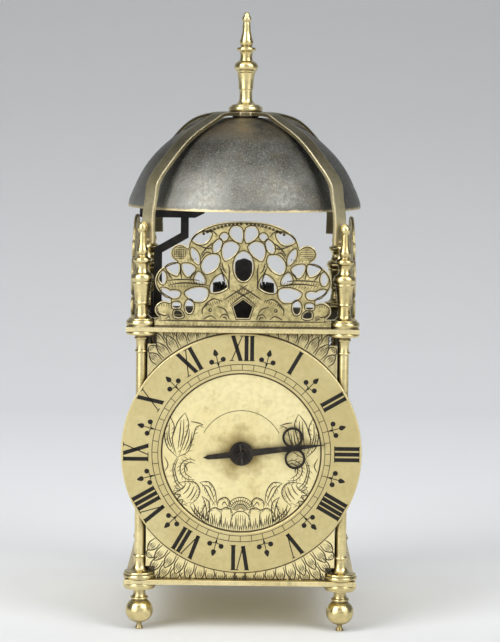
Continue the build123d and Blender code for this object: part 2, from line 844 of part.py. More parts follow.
with BuildPart() as hand:
    with BuildSketch(hand_plane):
        Circle(hand_boss_radius)
        with BuildLine():
            Polyline((-2.2, 5), (-1.7, hand_loop_place - 4), (1.7, hand_loop_place - 4), (2.2, 5), close=True)
        make_face()
        with BuildLine():
            Polyline((-2.0, -5), (-1.4, 3 - hand_tail), (0, -hand_tail), (1.4, 3 - hand_tail), (2.0, -5),
                     close=True)
        make_face()
        # two open rings beside the arm
        with Locations((-hand_loop_spread, hand_loop_place), (hand_loop_spread, hand_loop_place)):
            Circle(hand_loop_radius)
        with Locations((-hand_loop_spread, hand_loop_place), (hand_loop_spread, hand_loop_place)):
            Circle(hand_loop_radius - hand_loop_wall, mode=Mode.SUBTRACT)
        with BuildLine():
            Polyline((-1.5, hand_loop_place - 5), (-1.2, hand_loop_place + 8), (0, hand_reach),
                     (1.2, hand_loop_place + 8), (1.5, hand_loop_place - 5), close=True)
        make_face()
    extrude(amount=hand_thick)
    with BuildSketch(hand_plane.offset(hand_thick)):
        Circle(hand_boss_radius - 3)
    extrude(amount=1.2)
    with BuildSketch(hand_plane.offset(-0.1)):
        Rectangle(hand_square + 2 * press_gap, hand_square + 2 * press_gap)
    extrude(amount=5, mode=Mode.SUBTRACT)
save(hand, "hand")

pin_depth = hand_back + hand_thick + 1.2 + hand_pin_radius + 0.3
with BuildPart() as hand_arbor:
    stepped_bar(0, dial_centre_height,
                (front_bar[1] - 0.4, front_bar[0] - end_shake, pivot_radius + 0.6),
                (front_bar[0] - end_shake, hour_depth + 2.5, 3.2),
                (hour_depth + 2.5, -dial_face - 1.0, hand_arbor_radius))
    with BuildSketch(hand_plane.offset(-2.5)):
        Rectangle(hand_square, hand_square)
    extrude(amount=front_reach - hand_back + 2.5)
    pin_plane = Plane(origin=(0, axis_y - pin_depth, dial_centre_height), x_dir=(0, 1, 0),
                      z_dir=hand_plane.x_dir)
    with BuildSketch(pin_plane):
        Circle(hand_pin_radius + press_gap)
    extrude(amount=10, both=True, mode=Mode.SUBTRACT)
save(hand_arbor, "hand_arbor")

with BuildPart() as hand_pin:
    with BuildSketch(pin_plane):
        Circle(hand_pin_radius)
    extrude(amount=6.5, both=True)
save(hand_pin, "hand_pin")

# ---------------------------------------------------------------- movement bars
arm_end = 5.0


def movement_bar(depth, arms, holes, name):
    """An upright bar with tenons in both plates. arms are (x, height) of the side arbors that it
    carries; holes are (x, height, radius) of its bearings."""
    with BuildPart() as bar:
        with BuildSketch(across(0, 0, depth + bar_radius)):
            with Locations((0, plate_low_top + frame_gap / 2)):
                Rectangle(bar_width, frame_gap)
                Rectangle(bar_tenon, frame_gap + 2 * plate_thick - 0.6)
            for x, height in arms:
                with Locations((x / 2, height)):
                    SlotOverall(abs(x) + 2 * arm_end, bar_arm_height)
            for x, height, radius in holes:
                with Locations((x, height)):
                    Circle(radius, mode=Mode.SUBTRACT)
        extrude(amount=bar_thick)
    save(bar, name)


bearing = pivot_radius + pivot_gap
lever_hole = (lever_x, lever_height, bearing)
hammer_hole = (hammer_arbor_x, hammer_arbor_height, bearing)
movement_bar(
    -bar_spacing, [(lever_x, lever_height)],
    [(0, going_height, arbor_radius + pivot_gap), (0, contrate_height, bearing), lever_hole,
     (0, dial_centre_height, pivot_radius + 0.6 + pivot_gap), (0, potence_height, screw_radius + press_gap)],
    "front_bar",
)
movement_bar(
    0, [(hammer_arbor_x, hammer_arbor_height), (lever_x, lever_height)],
    [(0, going_height, bearing), (0, contrate_height, bearing), hammer_hole,
     (lever_x, lever_height, arbor_radius + slip_gap), (0, strike_height, bearing),
     (0, locking_height, bearing), (0, warning_height, bearing), (0, fly_height, bearing)],
    "middle_bar",
)
movement_bar(
    bar_spacing, [(hammer_arbor_x, hammer_arbor_height), (lever_x, lever_height)],
    [hammer_hole, lever_hole, (0, strike_height, arbor_radius + pivot_gap), (0, locking_height, bearing),
     (0, warning_height, bearing), (0, fly_height, bearing), (0, count_height, screw_radius + press_gap)],
    "rear_bar",
)

# ---------------------------------------------------------------- going train
pivot_in = bar_thick - 0.6


def pulley_shape(height, depth):
    """A rope pulley with sloped cheeks and a ring of spikes in its groove."""
    cheek_in = pulley_width / 2 - pulley_cheek
    with BuildSketch(beside(0, height, depth)) as section:
        with BuildLine():
            Polyline((-pulley_width / 2, arbor_radius), (-pulley_width / 2, pulley_radius),
                     (-cheek_in, pulley_radius), (-cheek_in / 2, pulley_groove), (cheek_in / 2, pulley_groove),
                     (cheek_in, pulley_radius), (pulley_width / 2, pulley_radius),
                     (pulley_width / 2, arbor_radius), close=True)
        make_face()
    revolve(section.sketch, axis=Axis((0, axis_y, height), (0, 1, 0)))
    for spike in range(pulley_spikes):
        turn = radians(360 * spike / pulley_spikes + 10)
        spike_plane = Plane(origin=(0, depth + axis_y, height), z_dir=(cos(turn), 0, sin(turn)))
        with BuildSketch(spike_plane.offset(pulley_groove - 0.5)) as spike_root:
            Circle(1.1)
        extrude(spike_root.sketch, amount=3.2, taper=14)


with BuildPart() as going_great_wheel:
    wheel_disc(0, going_height, going_depth, going_teeth, going_module, 90, 3.0)
    pinion(0, going_height, hour_depth, pinion_leaves, report_module, 90)
    stepped_bar(0, going_height,
                (middle_bar[0] + pivot_in, middle_bar[0] - end_shake, pivot_radius),
                (middle_bar[0] - end_shake, hour_depth - pinion_width / 2, arbor_radius))
save(going_great_wheel, "going_great_wheel")

with BuildPart() as going_pulley:
    pulley_shape(going_height, going_pulley_depth)
    with BuildSketch(across(0, going_height, going_pulley_depth + pulley_width / 2)):
        Circle(arbor_radius + press_gap)
    extrude(amount=pulley_width, mode=Mode.SUBTRACT)
save(going_pulley, "going_pulley")

hour_hub_radius = 6.0
with BuildPart() as hour_wheel:
    with BuildSketch(across(0, dial_centre_height, hour_depth + wheel_thick / 2)):
        toothed_outline(hour_teeth, report_module, wheel_teeth_form, gap_first(hour_teeth, -90))
        crossings(report_module * (hour_teeth / 2 - wheel_teeth_form[1]) - 5.5, hour_hub_radius, 4.5)
    extrude(amount=wheel_thick)
    with BuildSketch(across(0, dial_centre_height, hour_depth)):
        Circle(pipe_radius)
    extrude(amount=dial_face + hour_depth + 0.2)
    with BuildSketch(across(0, dial_centre_height, hour_depth + wheel_thick / 2 + 2)):
        with PolarLocations(report_module * hour_teeth / 2 - 4.2, hour_lift_pins):
            Circle(0.9)
    extrude(amount=2.5)
    with BuildSketch(across(0, dial_centre_height, hour_depth + 3)):
        Circle(hand_arbor_radius + pivot_gap)
    extrude(amount=30, mode=Mode.SUBTRACT)
save(hour_wheel, "hour_wheel")

contrate_disc = contrate_face + contrate_tooth
with BuildPart() as contrate_wheel:
    rim_width = 7.0
    with BuildSketch(across(0, contrate_height, contrate_disc + rim_width)):
        Circle(contrate_radius + contrate_band / 2)
        crossings(contrate_radius - contrate_band / 2, 5.0, 3.2)
    extrude(amount=1.6)
    with BuildSketch(across(0, contrate_height, contrate_disc + rim_width)):
        Circle(contrate_radius + contrate_band / 2)
        Circle(contrate_radius - contrate_band / 2, mode=Mode.SUBTRACT)
    extrude(amount=rim_width)
    with BuildSketch(across(0, contrate_height, contrate_disc + 0.3)):
        with PolarLocations(contrate_radius, contrate_teeth, 90):
            Rectangle(contrate_band, crown_module * 1.1)
    extrude(amount=contrate_tooth + 0.3)
    pinion(0, contrate_height, going_depth, pinion_leaves, going_module, gap_first(pinion_leaves, -90))
    stepped_bar(0, contrate_height,
                (middle_bar[0] + pivot_in, middle_bar[0] - end_shake, pivot_radius),
                (middle_bar[0] - end_shake, front_bar[1] + end_shake, arbor_radius),
                (front_bar[1] + end_shake, front_bar[1] - pivot_in, pivot_radius))
save(contrate_wheel, "contrate_wheel")

crown_pinion_low = contrate_height + contrate_radius - 3.5
crown_pinion_high = contrate_height + contrate_radius + 3.5
crown_arbor_radius = 1.2
with BuildPart() as crown_wheel:
    with BuildSketch(level(crown_height)):
        with Locations((0, crown_depth)):
            Circle(crown_radius_wheel)
    extrude(amount=crown_band)
    with BuildSketch(level(crown_height + 1.5)):
        with Locations((0, crown_depth)):
            Circle(crown_radius_wheel - crown_wall)
    extrude(amount=crown_band, mode=Mode.SUBTRACT)
    with BuildSketch(level(crown_height)):
        with Locations((0, crown_depth)):
            with PolarLocations(11.2, 4, 45):
                Circle(6.0)
    extrude(amount=1.5, mode=Mode.SUBTRACT)
    # saw teeth round the upper edge
    tooth_top = crown_height + crown_band
    for tooth in range(crown_teeth):
        turn = 360 * tooth / crown_teeth
        pitch_length = 6.2832 * crown_radius_wheel / crown_teeth
        out = Vector(*polar(crown_radius_wheel, turn), 0)
        tooth_plane = Plane(origin=Vector(0, crown_depth + axis_y, tooth_top) + out,
                            x_dir=(-sin(radians(turn)), cos(radians(turn)), 0),
                            z_dir=(cos(radians(turn)), sin(radians(turn)), 0))
        with BuildSketch(tooth_plane.offset(-crown_wall - 0.1)):
            Polygon((-pitch_length * 0.35, -0.3), (pitch_length * 0.35, -0.3),
                    (pitch_length * 0.45, crown_tooth), (pitch_length * 0.28, crown_tooth), align=None)
        extrude(amount=crown_wall)
    with BuildSketch(level(crown_pinion_low)):
        with Locations((0, crown_depth)):
            toothed_outline(pinion_leaves, crown_module, pinion_teeth_form, gap_first(pinion_leaves, 90))
    extrude(amount=crown_pinion_high - crown_pinion_low)
    stepped_post(0, crown_depth,
                 (potence_height + 0.6, potence_height + bar_thick + end_shake, pivot_radius),
                 (potence_height + bar_thick + end_shake, plate_top_under - 2, crown_arbor_radius),
                 (plate_top_under - 2, crown_height, arbor_radius),
                 (plate_top_top + end_shake, plate_top_top + 2, 3.0),
                 (crown_height - 4, crown_height + 3, 4.0))
save(crown_wheel, "crown_wheel")

with BuildPart() as potence:
    reach = crown_depth - front_bar[1]
    with BuildSketch(level(potence_height)):
        with Locations((0, front_bar[1] + (reach + 4) / 2)):
            SlotOverall(reach + 4, 7, rotation=90)
            with Locations((0, -3)):
                Rectangle(7, reach - 2)
    extrude(amount=bar_thick)
    with BuildSketch(level(potence_height - 5)):
        with Locations((0, front_bar[1] - bar_thick / 2 + bar_thick)):
            Rectangle(7, bar_thick)
    extrude(amount=bar_thick + 10)
    with BuildSketch(level(potence_height)):
        with Locations((0, crown_depth)):
            Circle(bearing)
    extrude(amount=bar_thick, mode=Mode.SUBTRACT)
    with BuildSketch(level(0)):
        with Locations((0, front_bar[0])):
            Rectangle(plate_side, 2 * bar_thick)
    extrude(amount=frame_gap * 2, mode=Mode.SUBTRACT)
save(potence, "potence")

# ---------------------------------------------------------------- verge, cocks, pendulum
pallet_circle = crown_radius_wheel - crown_wall / 2
pallet_places = (crown_depth - pallet_circle, crown_depth + pallet_circle)
with BuildPart() as verge:
    stepped_bar(0, verge_height,
                (pendulum_depth + 3, front_cock_depth + cock_thick / 2 + end_shake, verge_radius),
                (front_cock_depth + cock_thick / 2 + end_shake, front_cock_depth - cock_thick / 2 + 0.3,
                 pivot_radius))
    for place, lean in zip(pallet_places, (-pallet_spread, pallet_spread)):
        down = Vector(sin(radians(lean)), 0, -cos(radians(lean)))
        flag = Plane(origin=(0, place + axis_y, verge_height), x_dir=(0, 1, 0), z_dir=down)
        with BuildSketch(flag):
            Rectangle(pallet_width, pallet_thick)
        extrude(amount=pallet_length)
    stepped_bar(0, verge_height, (pendulum_depth + 2.4, pendulum_depth - 2.4, 2.6))
save(verge, "verge")

bob_middle = verge_height - pendulum_length
with BuildPart() as pendulum_rod:
    stepped_post(0, pendulum_depth, (bob_middle - bob_height / 2 - 4, verge_height - 2.7, rod_radius))
save(pendulum_rod, "pendulum_rod")

with BuildPart() as pendulum_bob:
    turned(0, pendulum_depth, bob_middle - bob_height / 2, (
        (0, 2.6, 0),
        (2.0, 2.6, 0.4),
        (13.0, bob_radius, 1.6),
        (9.0, 2.6, 1.8),
    ))
    with BuildSketch(level(bob_middle - bob_height / 2 - 1)):
        with Locations((0, pendulum_depth)):
            Circle(rod_radius + press_gap)
    extrude(amount=bob_height + 2, mode=Mode.SUBTRACT)
save(pendulum_bob, "pendulum_bob")

with BuildPart() as verge_front_cock:
    cock_rise = verge_height + 13.0 - plate_top_top
    with BuildSketch(across(0, plate_top_top, front_cock_depth + cock_thick / 2)):
        with Locations((0, cock_rise / 2)):
            Rectangle(front_cock_width, cock_rise)
        with Locations((0, verge_height - plate_top_top)):
            Circle(bearing, mode=Mode.SUBTRACT)
    extrude(amount=cock_thick)
    fillet(verge_front_cock.edges().filter_by(Axis.Y).group_by(Axis.Z)[-1], radius=3)
    with BuildSketch(level(plate_top_top)):
        with Locations((0, front_cock_depth + 5.6)):
            Rectangle(front_cock_width, 9)
        with Locations((0, front_cock_depth + 7)):
            Circle(screw_radius + press_gap, mode=Mode.SUBTRACT)
    extrude(amount=cock_thick)
save(verge_front_cock, "verge_front_cock")

with BuildPart() as verge_back_cock:
    rear_rise = verge_height + 6.0 - plate_top_top
    with BuildSketch(across(0, plate_top_top, back_cock_depth + cock_thick / 2)):
        with BuildLine():
            Polyline((-back_cock_width / 2, 0), (-back_cock_width / 2, 3), (-5, rear_rise - 8),
                     (-5, rear_rise - 4))
            ThreePointArc((-5, rear_rise - 4), (0, rear_rise), (5, rear_rise - 4))
            Polyline((5, rear_rise - 4), (5, rear_rise - 8), (back_cock_width / 2, 3), (back_cock_width / 2, 0),
                     (-back_cock_width / 2, 0))
        make_face()
        with Locations((0, verge_height - plate_top_top)):
            Circle(verge_radius + pivot_gap, mode=Mode.SUBTRACT)
    extrude(amount=cock_thick)
    with BuildSketch(level(plate_top_top)):
        with Locations((0, back_cock_depth - 4.5)):
            Rectangle(back_cock_width, 9)
        with Locations((-9, back_cock_depth - 5), (9, back_cock_depth - 5)):
            Circle(screw_radius + press_gap, mode=Mode.SUBTRACT)
    extrude(amount=cock_thick)
save(verge_back_cock, "verge_back_cock")

# ---------------------------------------------------------------- striking train
with BuildPart() as strike_great_wheel:
    wheel_disc(0, strike_height, strike_depth, strike_teeth, strike_module, 90, 7.5)
    with BuildSketch(across(0, strike_height, strike_depth - wheel_thick / 2 + 0.1)):
        with PolarLocations(strike_pin_circle + 2.4, strike_pins, 40):
            Circle(strike_pin_radius)
    extrude(amount=3.6)
    pinion(0, strike_height, count_depth, count_leaves, count_module, 90, count_pinion_width)
    stepped_bar(0, strike_height,
                (count_depth + count_pinion_width / 2, middle_bar[1] + end_shake, arbor_radius),
                (middle_bar[1] + end_shake, middle_bar[1] - pivot_in, pivot_radius))
save(strike_great_wheel, "strike_great_wheel")

with BuildPart() as strike_pulley:
    pulley_shape(strike_height, strike_pulley_depth)
    with BuildSketch(across(0, strike_height, strike_pulley_depth + pulley_width / 2)):
        Circle(arbor_radius + press_gap)
    extrude(amount=pulley_width, mode=Mode.SUBTRACT)
save(strike_pulley, "strike_pulley")


def train_arbor(height, radius):
    """An arbor between the middle and the rear bar."""
    stepped_bar(0, height,
                (rear_bar[0] + pivot_in, rear_bar[0] - end_shake, pivot_radius),
                (rear_bar[0] - end_shake, middle_bar[1] + end_shake, radius),
                (middle_bar[1] + end_shake, middle_bar[1] - pivot_in, pivot_radius))


with BuildPart() as locking_wheel:
    wheel_disc(0, locking_height, locking_depth, locking_teeth, locking_module, 90, 3.0)
    hoop_radius = locking_module * locking_teeth / 2 - 3.0
    with BuildSketch(across(0, locking_height, locking_depth - wheel_thick / 2)):
        Circle(hoop_radius)
        Circle(hoop_radius - 1.2, mode=Mode.SUBTRACT)
        with Locations(polar(hoop_radius, 30)):
            Circle(3.0, mode=Mode.SUBTRACT)
    extrude(amount=3.0)
    pinion(0, locking_height, strike_depth, pinion_leaves, strike_module, gap_first(pinion_leaves, -90))
    train_arbor(locking_height, arbor_radius)
save(locking_wheel, "locking_wheel")

with BuildPart() as warning_wheel:
    wheel_disc(0, warning_height, warning_depth, warning_teeth, warning_module, 90, 2.4)
    pinion(0, warning_height, locking_depth, pinion_leaves, locking_module, gap_first(pinion_leaves, -90))
    with BuildSketch(across(0, warning_height, warning_depth + wheel_thick / 2 + 2)):
        with Locations(polar(warning_module * warning_teeth / 2 - 2.2, 60)):
            Circle(0.7)
    extrude(amount=2.2)
    train_arbor(warning_height, fine_arbor_radius)
save(warning_wheel, "warning_wheel")

with BuildPart() as fly:
    pinion(0, fly_height, warning_depth, pinion_leaves, warning_module, gap_first(pinion_leaves, -90))
    train_arbor(fly_height, fine_arbor_radius)
    with BuildSketch(across(0, fly_height, 5.0 + fly_length)):
        Rectangle(2 * fly_radius, fly_thick)
        Circle(1.9)
    extrude(amount=fly_length)
save(fly, "fly")

# countwheel: one slot after each hour's run of blows, in a disc behind its toothed ring
count_disc_rear = count_depth + wheel_thick / 2 + count_disc_gap + count_disc_thick
hour_ends = [sum(range(1, hour + 1)) for hour in range(1, 13)]
with BuildPart() as countwheel:
    with BuildSketch(across(0, count_height, count_disc_rear)):
        Circle(count_rim_radius)
        with Locations(*[Location((*polar(count_rim_radius, 90 - 360 * (end - 0.5) / blows), 0),
                                  (0, 0, 90 - 360 * (end - 0.5) / blows)) for end in hour_ends]):
            Rectangle(2 * count_slot, 1.4, mode=Mode.SUBTRACT)
    extrude(amount=count_disc_thick)
    with BuildSketch(across(0, count_height, count_disc_rear)):
        Circle(6.0)
    extrude(amount=count_disc_rear - count_depth)
    with BuildSketch(across(0, count_height, count_depth + wheel_thick / 2)):
        toothed_outline(count_teeth, count_module, wheel_teeth_form, gap_first(count_teeth, -90))
    extrude(amount=wheel_thick)
    with BuildSketch(across(0, count_height, count_disc_rear + 1)):
        Circle(2.5 + pivot_gap)
    extrude(amount=8, mode=Mode.SUBTRACT)
save(countwheel, "countwheel")

with BuildPart() as countwheel_stud:
    stepped_bar(0, count_height,
                (count_disc_rear + 2.5, count_disc_rear + end_shake, 4.0),
                (count_disc_rear + end_shake, rear_bar[1], 2.5),
                (rear_bar[1], rear_bar[0] + 0.4, screw_radius))
save(countwheel_stud, "countwheel_stud")

# ---------------------------------------------------------------- lifting lever: one arbor, three arms
count_touch = 45.0
with BuildPart() as lifting_lever:
    stepped_bar(lever_x, lever_height,
                (rear_bar[1] + 7.5, rear_bar[1] + end_shake, arbor_radius),
                (rear_bar[1] + end_shake, rear_bar[0] - end_shake, pivot_radius),
                (rear_bar[0] - end_shake, front_bar[1] + end_shake, arbor_radius),
                (front_bar[1] + end_shake, front_bar[0] - end_shake, pivot_radius),
                (front_bar[0] - end_shake, hour_depth - 2.5, arbor_radius))
    # the arm over the countwheel's rim, with its blade turned down
    tip_x, tip_y = polar(count_rim_radius + slip_gap + 0.5, count_touch)
    with BuildSketch(across(0, 0, count_disc_rear + 0.3)):
        with BuildLine():
            Polyline((lever_x, lever_height), (lever_x - 12, lever_height + 5),
                     (tip_x + 3, count_height + tip_y + 4), (tip_x + 0.6, count_height + tip_y + 0.6))
        trace(line_width=lever_thick)
    extrude(amount=wheel_thick)
    # the arm that locks the hoop wheel, short of its rim
    with BuildSketch(across(0, 0, locking_depth + 1)):
        with BuildLine():
            Polyline((lever_x, lever_height), (lever_x - 20.5, lever_height + 1))
        trace(line_width=lever_bar)
    extrude(amount=2)
    # the tail that the hour wheel lifts
    with BuildSketch(across(0, 0, hour_depth + 2.0)):
        with BuildLine():
            Polyline((lever_x, lever_height), (lever_x - 4.5, lever_height - 16))
        trace(line_width=lever_thick + 1)
    extrude(amount=4)
save(lifting_lever, "lifting_lever")

# ---------------------------------------------------------------- hammer, its spring and stop
head_top = hammer_head_height + hammer_head / 2
head_level = (head_top - bell_rim_height) / (bell_height - bell_wall)
bell_inner_there = bell_inner_radius * (1 - head_level ** bell_shoulder) ** bell_fullness
head_side = hammer_depth + hammer_head / 2
head_face_x = -((bell_inner_there ** 2 - head_side ** 2) ** 0.5) + hammer_bell_gap
with BuildPart() as hammer:
    with BuildSketch(across(0, 0, hammer_depth + hammer_stem / 2)):
        with BuildLine():
            Polyline((hammer_arbor_x, hammer_arbor_height), (hammer_stem_x, hammer_arbor_height + 46),
                     (hammer_stem_x, hammer_bend_height), (hammer_neck_x, hammer_bend_height + 10),
                     (hammer_neck_x, hammer_head_height + 1))
        trace(line_width=hammer_stem)
    extrude(amount=hammer_stem)
    # head: a bar along x, with its face by the bell and its other end tapered
    with BuildSketch(across(0, hammer_head_height, hammer_depth + hammer_head / 2)):
        with BuildLine():
            taper_start = hammer_neck_x + hammer_bar_end - 6
            taper_end = hammer_neck_x + hammer_bar_end
            Polyline((head_face_x, hammer_head / 2), (taper_start, hammer_head / 2),
                     (taper_end, hammer_head / 4), (taper_end, -hammer_head / 4),
                     (taper_start, -hammer_head / 2), (head_face_x, -hammer_head / 2), close=True)
        make_face()
    extrude(amount=hammer_head)
    fillet(hammer.edges().group_by(Axis.X)[0], radius=1.2)
    stepped_bar(hammer_arbor_x, hammer_arbor_height,
                (rear_bar[0] + pivot_in, rear_bar[0] - end_shake, pivot_radius),
                (rear_bar[0] - end_shake, middle_bar[1] + end_shake, arbor_radius + 0.6),
                (middle_bar[1] + end_shake, middle_bar[1] - pivot_in, pivot_radius))
    with BuildSketch(across(0, 0, strike_depth - wheel_thick / 2 - 0.6)):
        with BuildLine():
            Polyline((hammer_arbor_x, hammer_arbor_height),
                     (hammer_arbor_x + hammer_tail, hammer_arbor_height - 4))
        trace(line_width=3.2)
    extrude(amount=3)
save(hammer, "hammer")

spring_x = hammer_arbor_x + 10
spring_gap = 3.8
with BuildPart() as hammer_spring:
    spring_top = hammer_arbor_height - 5.0 - spring_gap
    with BuildSketch(across(0, 0, strike_depth - wheel_thick / 2 - 0.6)):
        with BuildLine():
            Polyline((spring_x - 14, plate_low_top + 0.6), (spring_x - 4, plate_low_top + 0.6),
                     (spring_x - 4, spring_top - 12), (spring_x, spring_top))
        trace(line_width=1.2)
    extrude(amount=5)
save(hammer_spring, "hammer_spring")

with BuildPart() as hammer_stop:
    stop_x = hammer_stem_x - hammer_stem / 2 - slip_gap
    with BuildSketch(across(0, 0, hammer_depth + 5)):
        with BuildLine():
            Polyline((stop_x, plate_top_top), (stop_x, plate_top_top + 16), (stop_x - 1.5, plate_top_top + 16),
                     (stop_x - 1.5, plate_top_top + 1.5), (stop_x - 6, plate_top_top + 1.5),
                     (stop_x - 6, plate_top_top), close=True)
        make_face()
    extrude(amount=10)
save(hammer_stop, "hammer_stop")

# ---------------------------------------------------------------- back plate, hoop, spurs, doors
with BuildPart() as back_plate:
    sheet_between(back_face - back_thick, back_thick, back_width)
save(back_plate, "back_plate")

with BuildPart() as hanging_hoop:
    hoop_outer = hoop_inner + hoop_bar
    hoop_centre = hoop_reach - hoop_outer
    with BuildSketch(level(plate_top_top)):
        with Locations((0, hoop_centre)):
            Circle(hoop_outer)
        with Locations((0, (hoop_centre + hoop_leg_front) / 2)):
            Rectangle(2 * hoop_outer, hoop_centre - hoop_leg_front)
        with Locations((0, hoop_centre)):
            Circle(hoop_inner, mode=Mode.SUBTRACT)
        with Locations((0, hoop_leg_front - 10)):
            Rectangle(2 * hoop_inner, 2 * (hoop_centre - hoop_leg_front + 10), mode=Mode.SUBTRACT)
    extrude(amount=hoop_thick)
    with BuildSketch(level(plate_top_under)):
        with Locations((0, hoop_screw_depth)):
            with GridLocations(2 * hoop_outer - hoop_bar, 1, 2, 1):
                Circle(hoop_screw_radius)
    extrude(amount=plate_thick + 1)
save(hanging_hoop, "hanging_hoop")

with BuildPart() as spurs:
    spur_height = foot_height - spur_drop
    for x in (-pillar_out, pillar_out):
        with BuildSketch(beside(x, spur_height, 0)):
            with BuildLine():
                shank_start = pillar_out + stud_radius + 1.8
                Polyline((shank_start, 0), (shank_start, spur_radius), (hoop_reach - 8, spur_radius),
                         (hoop_reach, 0), close=True)
            make_face()
        revolve(axis=Axis((x, axis_y, spur_height), (0, 1, 0)))
save(spurs, "spurs")

door_height = frame_gap - 2 * door_gap
for side, sign in (("left", -1), ("right", 1)):
    panel_x = sign * (door_face_x - door_thick / 2)
    with BuildPart() as door:
        panel_depth = door_hinge_depth + 2.5 - door_width / 2
        with BuildSketch(beside(panel_x, plate_low_top + frame_gap / 2, panel_depth)):
            Rectangle(door_width, door_height)
        extrude(amount=door_thick / 2, both=True)
        stepped_post(panel_x, door_hinge_depth,
                     (foot_height + 0.6, plate_top_top - 0.6, hinge_pin_radius))
        # turned knob, riveted on near the front edge
        knob_depth = door_hinge_depth + 8 - door_width
        with BuildSketch(Plane(origin=(panel_x, knob_depth + axis_y, dial_centre_height), x_dir=(sign, 0, 0),
                               z_dir=(0, -sign, 0))):
            with BuildLine():
                Polyline((0, 0), (0, 1.2), (door_thick / 2, 1.2), (door_thick / 2, 2.6),
                         (door_thick / 2 + 0.8, 2.6), (door_thick / 2 + 2.2, 1.3))
                ThreePointArc((door_thick / 2 + 2.2, 1.3), (door_thick / 2 + 4.6, knob_radius),
                              (door_thick / 2 + knob_reach, 0.6))
                Polyline((door_thick / 2 + knob_reach, 0.6), (door_thick / 2 + knob_reach, 0), (0, 0))
            make_face()
        revolve(axis=Axis((0, knob_depth + axis_y, dial_centre_height), (1, 0, 0)))
    save(door, f"door_{side}")
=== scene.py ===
"""Looks of the lantern clock: finishes, engraving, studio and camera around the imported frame."""

import math

import bpy
from mathutils import Euler, Matrix, Vector


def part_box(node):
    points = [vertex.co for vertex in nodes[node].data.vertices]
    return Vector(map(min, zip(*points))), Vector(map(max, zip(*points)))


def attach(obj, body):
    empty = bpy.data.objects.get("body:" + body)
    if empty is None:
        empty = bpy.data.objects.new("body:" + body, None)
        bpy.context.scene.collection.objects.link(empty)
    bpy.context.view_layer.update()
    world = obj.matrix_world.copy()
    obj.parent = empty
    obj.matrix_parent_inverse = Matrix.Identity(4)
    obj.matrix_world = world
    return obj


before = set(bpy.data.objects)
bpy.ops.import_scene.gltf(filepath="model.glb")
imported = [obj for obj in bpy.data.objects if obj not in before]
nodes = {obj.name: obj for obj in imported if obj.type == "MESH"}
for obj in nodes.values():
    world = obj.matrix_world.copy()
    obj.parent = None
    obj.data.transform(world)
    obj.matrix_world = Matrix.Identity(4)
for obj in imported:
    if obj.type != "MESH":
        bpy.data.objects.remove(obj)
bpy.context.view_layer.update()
MM = 0.001
UP = Vector((0, 0, 1))

# ---------------------------------------------------------------- node trees

NOISE_RANGE = (0.3, 0.7)  # where nearly all of a noise's values lie


class Nodes:
    """Adds nodes to a tree, their inputs set to values or linked to other nodes."""

    def __init__(self, tree):
        self.tree = tree

    def node(self, kind, inputs=(), **settings):
        made = self.tree.nodes.new(kind)
        for name, value in settings.items():
            setattr(made, name, value)
        for socket, value in dict(inputs).items():
            if isinstance(value, bpy.types.NodeSocket):
                self.tree.links.new(value, made.inputs[socket])
            else:
                made.inputs[socket].default_value = value
        return made

    def span(self, value, low, high, to_low=0.0, to_high=1.0):
        """Value carried from low..high to to_low..to_high, clamped."""
        return self.node(
            "ShaderNodeMapRange", {0: value, 1: low, 2: high, 3: to_low, 4: to_high}
        ).outputs["Result"]

    def combine(self, operation, first, second):
        return self.node(
            "ShaderNodeMath", {0: first, 1: second}, operation=operation
        ).outputs["Value"]

    def plus(self, first, second):
        return self.combine("ADD", first, second)

    def times(self, first, second):
        return self.combine("MULTIPLY", first, second)

    def parts(self, vector):
        """The X, Y and Z of a vector, as outputs."""
        return self.node("ShaderNodeSeparateXYZ", {0: vector}).outputs


